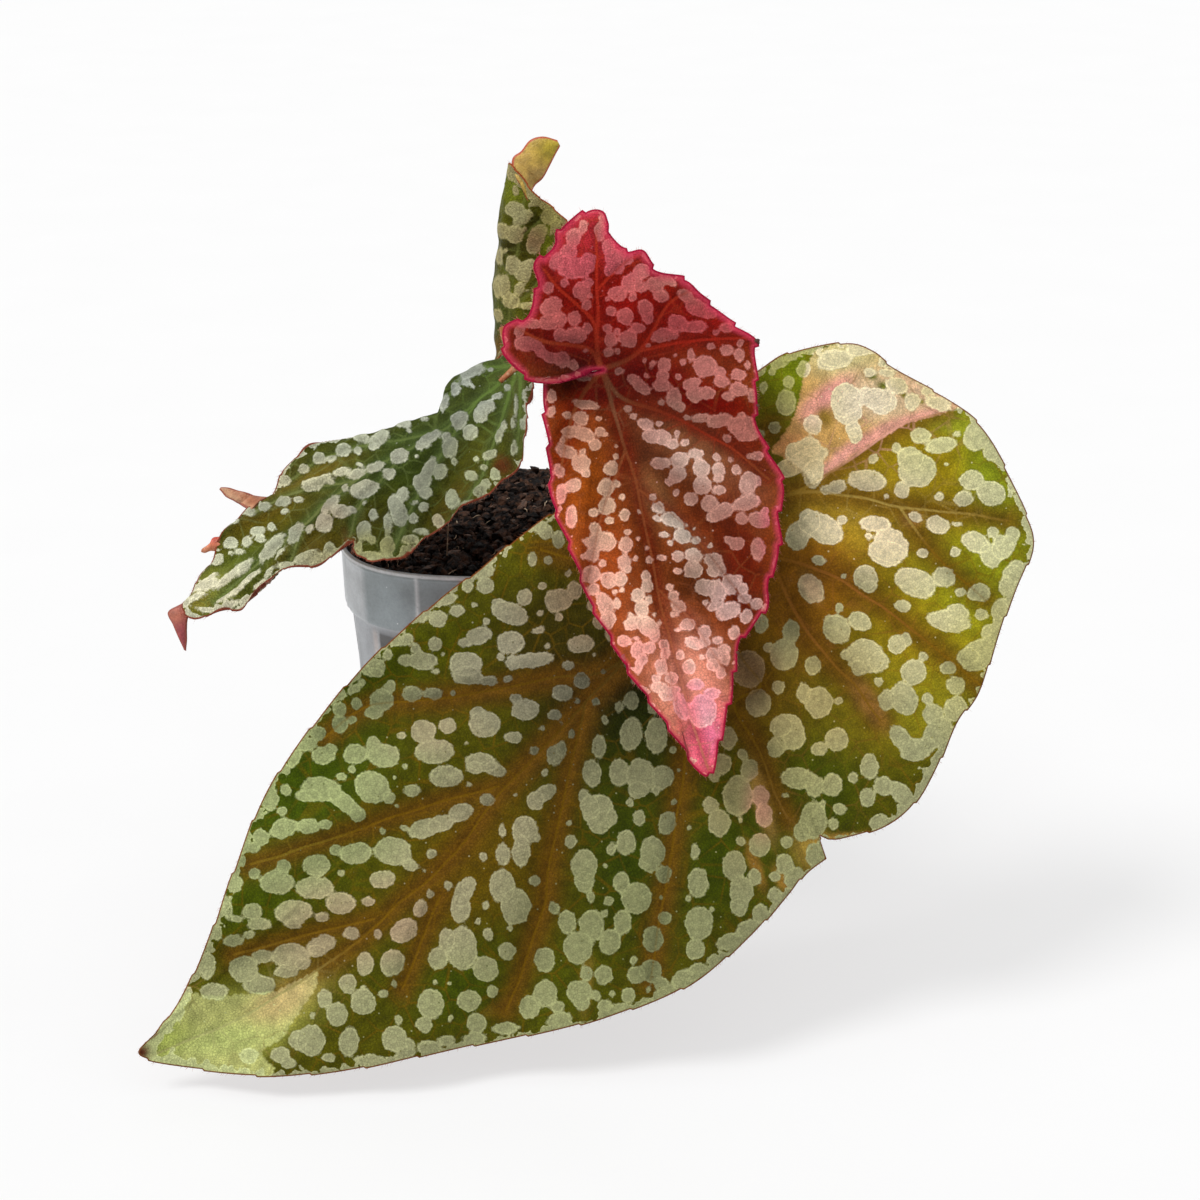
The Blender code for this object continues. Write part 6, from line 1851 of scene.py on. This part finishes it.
def make_curls(name):
    """The dried tongues that hang from a leaf's margin or curl at its tip."""
    leaf = LEAVES[name]
    edge = toothed(leaf)
    for number, strip in enumerate(leaf.get("curls", [])):
        roots = [on_blade(leaf, edge, np.array([root], float))[0] for root in strip["root"]]
        pairs = roots + strip["edges"]
        left, right = (smooth_path(pairs[side::2], CURL_STEPS) for side in (0, 1))
        points, faces, rims = curl_body(left, right)
        material = painted_material(f"{name} curl {number}", CURL_RIM[name])
        obj = mesh_object(f"{name}_curl_{number}", points, faces, [material])
        write_numbers(obj, "rim", rims)
        write_colors(obj, "ground", painted(in_picture(points), CURL_TINTS[name][number]))
        join_to_part(obj, name)


def stalk_material(name):
    """Streaks of a paler tone along a stalk's own colour."""
    shader = Shader(f"{name} stalk")
    inputs = {"Vector": shader.at(), "Scale": 0.9, "Detail": 4.0}
    clouds = shader.add("ShaderNodeTexNoise", inputs).outputs["Fac"]
    pale = shader.step(clouds, 0.5, 0.66, 0.0, 0.55)
    color = shader.mix(pale, shader.color("ground"), (222, 178, 140))
    color = shader.shaded(color, shader.noise(0.5, 3.0, 0.85, 1.1))
    return shader.finish(color, shader.noise(1.0, 3.0, 0.35, 0.55), shader.noise(0.5, 3.0), 0.08)


def make_stalk(name):
    leaf = LEAVES[name]
    path = spaced(smooth_path(leaf["stalk"]), 2 * STALK_STEPS)
    radii = np.linspace(*leaf["stalk_radius"], len(path))
    points, faces = tube(path, radii, STALK_SIDES)
    points = roughened(points, path, STALK_SIDES, solid_noise(points, STALK_GRAIN))
    obj = mesh_object(f"{name}_stalk", points, faces, [stalk_material(name)])
    write_colors(obj, "ground", painted(in_picture(points), STALK_COLORS[name]))
    join_to_part(obj, name)


def nearest_margin(name, places):
    """The point of a leaf's margin that falls nearest to each place on the photograph."""
    rim = margin_points(name)
    seen = in_picture(rim)
    return [rim[np.linalg.norm(seen - place, axis=1).argmin()] for place in places]


def make_small_tongue():
    """A third, short dried tongue on the left leaf: a thin strip folded along its middle."""
    root = nearest_margin("leaf_left", SMALL_TONGUE[:1])[0]
    depth = depth_of(root) + SMALL_TONGUE_BEHIND
    corners = [from_picture(u, v, depth) for u, v in SMALL_TONGUE]
    left, right = (smooth_path(corners[side::2], 8) for side in (0, 1))
    rings = []
    for a, b in zip(left, right):
        front = np.array([a, (a + b) / 2 + SMALL_TONGUE_FOLD, b])
        rings.append(np.vstack([front, front[::-1] + SMALL_TONGUE_BACK]))
    points, faces = lofted(rings)
    obj = mesh_object("leaf_left_small_tongue", points, faces, [painted_material("small tongue")])
    write_colors(obj, "ground", painted(in_picture(points), SMALL_TONGUE_TINT))
    join_to_part(obj, "leaf_left")


def make_dried_flecks():
    """Small dry crumbs on the red leaf's margin."""
    draw = random.Random(9)
    places = [(u, v) for u, v, _ in DRIED_FLECKS]
    bodies = []
    for at, (_, _, size) in zip(nearest_margin("leaf_red", places), DRIED_FLECKS):
        bodies.append((lump(draw, size, (1, 0.8, 0.9)) + at, ICO_FACES))
    shader = Shader("dried flecks")
    color = shader.mix(shader.noise(0.8, 4.0), (40, 20, 14), (110, 66, 48))
    rough = shader.noise(0.8, 3.0, 0.6, 0.9)
    material = shader.finish(color, rough, shader.noise(0.4, 3.0), 0.1)
    obj = mesh_object("leaf_red_flecks", *merged(bodies), [material])
    join_to_part(obj, "leaf_red")


def hair_roots(name, draw):
    """Where the hairs stand and which way they point: along the margin and on the stalk."""
    leaf = LEAVES[name]
    edge = toothed(leaf)
    rim, inward = (on_blade(leaf, edge, edge * scale) for scale in (1.0, HAIR_INWARD))
    rows = []
    for _ in range(HAIRS[name][0]):
        i = draw.randrange(len(edge))
        out = rim[i] - inward[i]
        rows.append((rim[i], out / np.linalg.norm(out)))
    path = spaced(smooth_path(leaf["stalk"]), STALK_STEPS)
    radii = np.linspace(*leaf["stalk_radius"], len(path))
    for _ in range(STALK_HAIRS):
        i = draw.randrange(2, len(path) - 2)
        ahead = path[i + 1] - path[i]
        side = np.cross(ahead, [draw.gauss(0, 1) for _ in range(3)])
        side /= np.linalg.norm(side)
        rows.append((path[i] + side * radii[i] * HAIR_SEAT, side))
    return rows


def hair(root, lean, length):
    """A thin pyramid of three sides that starts a little under the surface."""
    side = np.cross(lean, (0.31, 0.52, 0.79))
    side /= np.linalg.norm(side)
    other = np.cross(lean, side)
    foot = []
    for angle in around_circle(3):
        out = math.cos(angle) * side + math.sin(angle) * other
        foot.append(root - lean * HAIR_SUNK + HAIR_RADIUS * out)
    return [*foot, root + lean * length], [(0, 1, 3), (1, 2, 3), (2, 0, 3), (2, 1, 0)]


def make_hairs(name):
    draw = random.Random(f"{name} hairs")
    _, lengths, color = HAIRS[name]
    bodies = []
    for root, out in hair_roots(name, draw):
        lean = out + np.array([draw.gauss(0, HAIR_LEAN) for _ in range(3)])
        lean /= np.linalg.norm(lean)
        bodies.append(hair(root, lean, draw.uniform(*lengths)))
    shader = Shader(f"{name} hairs")
    tone = shader.mix(shader.noise(1.5), color, brighter(color, 1.25))
    material = shader.finish(tone, shader.noise(1.0, 2.0, 0.45, 0.6))
    join_to_part(mesh_object(f"{name}_hairs", *merged(bodies), [material]), name)


def square_ring(angles, half, z, extra=0.0):
    """One level of the rounded square."""
    powers = np.abs(np.cos(angles)) ** POT_POWER + np.abs(np.sin(angles)) ** POT_POWER
    radius = half * powers ** (-1 / POT_POWER) + extra
    level = np.full(len(angles), z)
    return np.column_stack([radius * np.cos(angles), radius * np.sin(angles), level])


def side_angle(angles):
    """Degrees from the middle of the nearest side."""
    degrees = np.degrees(angles)
    return np.abs((degrees + 45) % 90 - 45)


def stepped(profile, steps):
    """A profile with extra levels between its own."""
    rows = []
    for (z0, half0), (z1, half1) in zip(profile, profile[1:]):
        for k in range(steps):
            rows.append((z0 + (z1 - z0) * k / steps, half0 + (half1 - half0) * k / steps))
    return rows + [profile[-1]]


def toward(colors, share, color):
    """Colours moved toward another one by a share for each row."""
    return colors + share[:, None] * (linear(color) - colors)


def pot_zone(angles, z):
    """Colours of one level of the outside, from the corners to the middle of each side."""
    off = side_angle(angles)
    if z > RIM_START:
        return np.tile(linear(POT_RIM), (len(angles), 1))
    across = np.abs(np.cos(angles)) > np.abs(np.sin(angles))
    if z >= COLLAR_ROWS[0]:
        share = np.where(across, np.clip((CORNER_END[0] - off) / CORNER_END[1], 0, 1), 0)
        crease = CREASE_STRENGTH * np.exp(-(((off - CREASE[0]) / CREASE[1]) ** 2))
        return toward(toward(linear(POT_COLLAR), share, POT_COLLAR_CORNER), crease, POT_RIM)
    low = np.clip((z - PANEL_LOW[0]) / PANEL_LOW[1], 0, 1)
    low = low * np.clip((PANEL_HIGH[0] - z) / PANEL_HIGH[1], 0, 1)
    share = low * np.where(across, np.clip((PANEL_END[0] - off) / PANEL_END[1], 0, 1), 1.0)
    rib = np.where(across, np.exp(-(((off - RIB[0]) / RIB[1]) ** 2)), 0) * low
    return toward(toward(linear(POT_BODY), share, POT_PANEL), rib, POT_RIB)


def make_pot():
    angles = around_circle(POT_AROUND)
    off = side_angle(angles)
    rings, colors = [], []
    for z, half in stepped(POT_OUTER, POT_STEPS):
        extra = 0.0
        if PANEL_ROWS[0] <= z <= PANEL_ROWS[1]:
            ease = min(1, (z - PANEL_ROWS[0]) / PANEL_EASE, (PANEL_ROWS[1] - z) / PANEL_EASE)
            extra = ease * np.interp(off, *zip(*PANEL_SHAPE))
        if COLLAR_ROWS[0] <= z <= COLLAR_ROWS[1]:
            extra = np.interp(off, *zip(*COLLAR_SHAPE))
        rings.append(square_ring(angles, half, z, extra))
        colors.append(pot_zone(angles, z))
    for z, half in stepped(POT_INNER, POT_STEPS):
        rings.append(square_ring(angles, half, z))
        colors.append(np.tile(linear(POT_INSIDE), (len(angles), 1)))
    colors += [linear([POT_BODY]), linear([POT_INSIDE])]
    obj = mesh_object("pot_shell", *lofted(rings), [pot_material()])
    write_colors(obj, "ground", np.vstack(colors))
    cut_holes(obj)
    join_to_part(obj, "pot")


def cut_holes(pot):
    """Cuts the drainage holes through the base of the pot."""
    cutters = []
    circle = around_circle(DRAIN_SIDES)
    for hole in range(DRAIN_HOLES):
        angle = 2 * math.pi * (hole + 0.5) / DRAIN_HOLES
        x = DRAIN_CIRCLE * math.cos(angle) + DRAIN_RADIUS * np.cos(circle)
        y = DRAIN_CIRCLE * math.sin(angle) + DRAIN_RADIUS * np.sin(circle)
        cutters.append(lofted([np.column_stack([x, y, np.full(len(x), z)]) for z in DRAIN_CUT]))
    cutter = mesh_object("drain cutters", *merged(cutters))
    holes = pot.modifiers.new("holes", "BOOLEAN")
    holes.object = cutter
    holes.operation = "DIFFERENCE"
    bpy.context.view_layer.update()
    graph = bpy.context.evaluated_depsgraph_get()
    pot.data = bpy.data.meshes.new_from_object(pot.evaluated_get(graph))
    pot.modifiers.clear()
    bpy.data.objects.remove(cutter)


def pot_material():
    """Frosted plastic; where the soil lies behind it, it is dark and cloudy."""
    shader = Shader("frosted pot plastic")
    color = shader.shaded(shader.color("ground"), shader.noise(7.0, 6.0, 0.88, 1.1))
    color = shader.shaded(color, shader.noise(0.8, 4.0, 0.93, 1.07))
    dark = shader.step(shader.number("ground"), 0.14, 0.3, 1.0, 0.0)
    brown = shader.times(dark, shader.noise(4.5, 5.0, -0.3, 0.9))
    color = shader.mix(brown, color, (62, 54, 48))
    gray = shader.times(dark, shader.noise(9.0, 4.0, -0.8, 0.6))
    color = shader.mix(gray, color, (126, 128, 128))
    color = shader.mix(shader.dots(2.6, 0.05, 0.14, 0.22), color, (96, 92, 90))
    color = shader.mix(shader.dots(5.2, 0.03, 0.06, 0.6, seed=7.0), color, (238, 240, 240))
    rough = shader.noise(1.2, 4.0, 0.34, 0.5)
    return shader.finish(color, rough, shader.noise(0.5, 4.0), 0.035, Specular_IOR_Level=0.5)


def soil_height(x, y):
    """The soil is banked up toward the back and a little round the cane."""
    distance = (x - SOIL_HEAP_AT[0]) ** 2 + (y - SOIL_HEAP_AT[1]) ** 2
    heap = SOIL_HEAP * np.exp(-distance / (2 * SOIL_HEAP_SPREAD**2))
    return SOIL_MIDDLE_Z + SOIL_SLOPE * y + heap


def soil_material():
    """Damp dark mix with lighter fibres and flecks."""
    shader = Shader("potting mix")
    color = shader.mix(shader.noise(2.6, 6.0, -0.5, 0.95), (7, 4, 3), (104, 72, 54))
    color = shader.mix(shader.noise(0.6, 4.0, 0.0, 0.5), color, (26, 16, 11))
    kind = shader.step(shader.cells(1.9, "F1", "Color"), 0.62, 0.66)
    flecks = shader.times(shader.dots(1.9, 0.08, 0.16, 0.42), kind)
    color = shader.mix(flecks, color, (124, 98, 74))
    rough = shader.noise(1.4, 4.0, 0.6, 0.95)
    return shader.finish(color, rough, shader.noise(0.7, 6.0), 0.35, Specular_IOR_Level=0.2)


def make_soil():
    angles = around_circle(SOIL_AROUND)
    rings = [square_ring(angles, half, z) for z, half in SOIL_SIDE]
    for share in [1.0, *np.linspace(*SOIL_RING_SHARES, SOIL_RINGS)]:
        ring = square_ring(angles, SOIL_EDGE_HALF * share, 0)
        ring[:, 2] = soil_height(ring[:, 0], ring[:, 1])
        grain, height = SOIL_ROUGH
        places = [(x / grain, y / grain, 0.0) for x, y, _ in ring.tolist()]
        rough = np.array([noise.turbulence(place, 4, False) - 0.6 for place in places])
        bump = rough * height + flat_noise(ring, SOIL_FINE[0], 3.0) * SOIL_FINE[1]
        drop = SOIL_EDGE_DROP if share == 1.0 else 0
        ring[:, 2] += bump * min(1.0, 12 * (1 - share) + 0.1) - drop
        rings.append(ring)
    bed = mesh_object("soil_bed", *lofted(rings), [soil_material()])
    join_to_part(bed, "soil")


def lump(draw, size, stretch):
    """One rough grain with its own turn and proportions."""
    shape = np.array(ICO_POINTS) / math.hypot(1, ICO_RATIO)
    shape = shape * [[draw.uniform(0.6, 1.25)] for _ in ICO_POINTS] * np.array(stretch) * size
    turn = Matrix.Rotation(draw.uniform(0, 6.28), 3, "Z")
    turn = turn @ Matrix.Rotation(draw.gauss(0, 0.5), 3, "X")
    return shape @ np.array(turn).T


def from_cane(x, y):
    return math.hypot(x - CANE_PATH[0][0], y - CANE_PATH[0][1])


def scatter(name, count, draw, shape_of, material):
    """Grains over the soil, part sunk, each clear of the cane and inside the pot's wall."""
    bodies = []
    reach = SOIL_EDGE_HALF - GRAIN_CLEARANCE
    while len(bodies) < count:
        x, y = draw.uniform(-reach, reach), draw.uniform(-reach, reach)
        grain, rise = shape_of(draw)
        size = np.abs(grain[:, :2]).max()
        room = reach - size
        inside = abs(x / room) ** POT_POWER + abs(y / room) ** POT_POWER < 1
        if inside and from_cane(x, y) >= CANE_RADIUS + size:
            bodies.append((grain + (x, y, soil_height(x, y) + rise), ICO_FACES))
    obj = mesh_object(name, *merged(bodies), [material], smooth=False)
    join_to_part(obj, "soil")


def crumb(draw):
    """A grain of the mix, and how high its middle lies."""
    size = draw.uniform(*CRUMB_SIZES) * draw.uniform(0.4, 1)
    grain = lump(draw, size, (1, draw.uniform(0.7, 1), draw.uniform(0.6, 0.9)))
    return grain, size * 0.25 + 0.2


def chip(draw):
    """A flat chip of bark, and how high its middle lies."""
    size = draw.uniform(*BARK_SIZES)
    return lump(draw, size, (1, draw.uniform(0.25, 0.6), 0.25)), BARK_RISE


def make_grains():
    scatter("soil_crumbs", CRUMBS, random.Random(21), crumb, soil_material())
    shader = Shader("bark chips")
    color = shader.mix(shader.noise(1.5, 6.0), (26, 17, 12), (112, 80, 60))
    bark = shader.finish(color, shader.noise(1.0, 4.0, 0.6, 0.9), shader.noise(0.6, 5.0), 0.3)
    scatter("soil_bark", BARK_CHIPS, random.Random(33), chip, bark)
    make_fibres()


def fibre_path(draw, x, y):
    """A wandering line over the soil from a place on it."""
    heading, length = draw.uniform(0, 6.28), draw.uniform(*FIBRE_LENGTHS)
    step = length / (FIBRE_POINTS - 1)
    path = []
    for k in range(FIBRE_POINTS):
        heading += draw.gauss(0, 0.25)
        path.append((x, y, soil_height(x, y) + FIBRE_RISE + 0.3 * math.sin(k)))
        x = np.clip(x + math.cos(heading) * step, -FIBRE_REACH, FIBRE_REACH)
        y = np.clip(y + math.sin(heading) * step, -FIBRE_REACH, FIBRE_REACH)
    return np.array(path)


def make_fibres():
    """Pale plant fibres that lie on the soil, and one that stands up."""
    draw = random.Random(5)
    strands = [(smooth_path(UPRIGHT_FIBRE, 4), UPRIGHT_FIBRE_RADIUS)]
    while len(strands) <= FIBRE_COUNT:
        x, y = draw.uniform(-FIBRE_START, FIBRE_START), draw.uniform(-FIBRE_START, FIBRE_START)
        if from_cane(x, y) >= FIBRE_CLEARANCE:
            strands.append((fibre_path(draw, x, y), draw.uniform(*FIBRE_RADII)))
    bodies = [tube(path, np.full(len(path), radius), FIBRE_SIDES) for path, radius in strands]
    shader = Shader("pale fibres")
    color = shader.mix(shader.noise(1.2, 3.0), (120, 92, 66), (208, 188, 160))
    fibre = shader.finish(color, shader.noise(1.0, 3.0, 0.6, 0.8))
    join_to_part(mesh_object("soil_fibres", *merged(bodies), [fibre]), "soil")


def cane_material():
    """Brown and olive bark with pale dots and a dark scar at each joint."""
    shader = Shader("cane bark")
    color = shader.mix(shader.noise(5.0, 5.0), (104, 66, 34), (128, 108, 56))
    color = shader.mix(shader.dots(1.7, 0.1, 0.2, 0.75), color, (206, 184, 148))
    color = shader.mix(shader.times(shader.number("node"), 0.7), color, (92, 54, 36))
    return shader.finish(color, shader.noise(1.0, 4.0, 0.4, 0.65), shader.noise(0.5, 5.0), 0.12)


def make_cane():
    path = spaced(smooth_path(CANE_PATH), CANE_STEPS)
    radii = CANE_RADIUS + (CANE_TOP_RADIUS - CANE_RADIUS) * np.linspace(0, 1, len(path))
    scar = np.zeros(len(path))
    for z in CANE_NODES:
        radii = radii + NODE_SWELL * np.exp(-(((path[:, 2] - z) / NODE_SPREAD) ** 2))
        scar += np.exp(-(((path[:, 2] - z) / NODE_SCAR) ** 2))
    to_tip = (path[-1, 2] - path[:, 2]) / CANE_TIP_LENGTH
    radii = radii * np.clip(to_tip + CANE_TIP_SHARE, CANE_TIP_SHARE, 1) ** CANE_TIP_POWER
    points, faces = tube(path, radii, CANE_SIDES)
    bumps = np.array([noise.noise((x / 2, y / 2, z / 5)) for x, y, z in points.tolist()])
    points = roughened(points, path, CANE_SIDES, bumps)
    obj = mesh_object("cane_bark", points, faces, [cane_material()])
    write_numbers(obj, "node", np.concatenate([np.repeat(scar, CANE_SIDES), [0, 0]]))
    join_to_part(obj, "cane")


def floor_material():
    """A pale sweep that glows a little, so that shadows on it stay light."""
    shader = Shader("studio floor")
    color = shader.mix(shader.noise(60.0, 3.0), (FLOOR_TONE,) * 3, (FLOOR_TONE + 1.5,) * 3)
    shader.put(shader.surface.inputs["Emission Color"], (1, 1, 1, 1))
    shader.put(shader.surface.inputs["Emission Strength"], FLOOR_GLOW)
    return shader.finish(color, shader.noise(40.0, 2.0, 0.85, 0.95), Specular_IOR_Level=0.0)


def make_world():
    """An even pale light all round, which looks brighter than the light it gives."""
    world = bpy.data.worlds.new("pale studio")
    world.use_nodes = True
    tree = world.node_tree
    background = tree.nodes["Background"]
    background.inputs["Color"].default_value = (1, 1, 1, 1)
    strength = tree.nodes.new("ShaderNodeMath")
    strength.operation = "MULTIPLY_ADD"
    rays = tree.nodes.new("ShaderNodeLightPath")
    tree.links.new(rays.outputs["Is Camera Ray"], strength.inputs[0])
    strength.inputs[1].default_value = WORLD_SEEN - WORLD_LIGHT
    strength.inputs[2].default_value = WORLD_LIGHT
    tree.links.new(strength.outputs["Value"], background.inputs["Strength"])
    bpy.context.scene.world = world
    bpy.context.scene.view_settings.view_transform = "Standard"


def make_studio():
    corners = [(-FLOOR_HALF, -FLOOR_HALF, 0), (FLOOR_HALF, -FLOOR_HALF, 0),
               (FLOOR_HALF, FLOOR_HALF, 0), (-FLOOR_HALF, FLOOR_HALF, 0)]
    floor = mesh_object("floor", corners, [(0, 1, 2, 3)], [floor_material()], smooth=False)
    for name, toward_light, spread, strength in LIGHTS:
        light = bpy.data.lights.new(name, "SUN")
        light.angle = math.radians(spread)
        light.energy = strength
        obj = bpy.data.objects.new(name, light)
        obj.rotation_euler = Vector(toward_light).to_track_quat("Z", "Y").to_euler()
        bpy.context.scene.collection.objects.link(obj)
    make_world()


def make_camera():
    camera = bpy.data.cameras.new("camera")
    camera.sensor_width = SENSOR
    camera.lens = FOCAL_PX * SENSOR / PHOTO_SIZE
    camera.clip_end = CLIP_END
    obj = bpy.data.objects.new("camera", camera)
    obj.location = Vector(CAMERA_AT) * MM
    obj.rotation_euler = (math.radians(90 - CAMERA_DOWN), 0, 0)
    bpy.context.scene.collection.objects.link(obj)
    bpy.context.scene.camera = obj


make_pot()
make_soil()
make_grains()
make_cane()
hiding_outline = in_picture(margin_points(HIDING_LEAF))
for leaf_name in LEAVES:
    make_blade(leaf_name, hiding_outline)
    make_curls(leaf_name)
    make_stalk(leaf_name)
    make_hairs(leaf_name)
make_small_tongue()
make_dried_flecks()
make_studio()
make_camera()
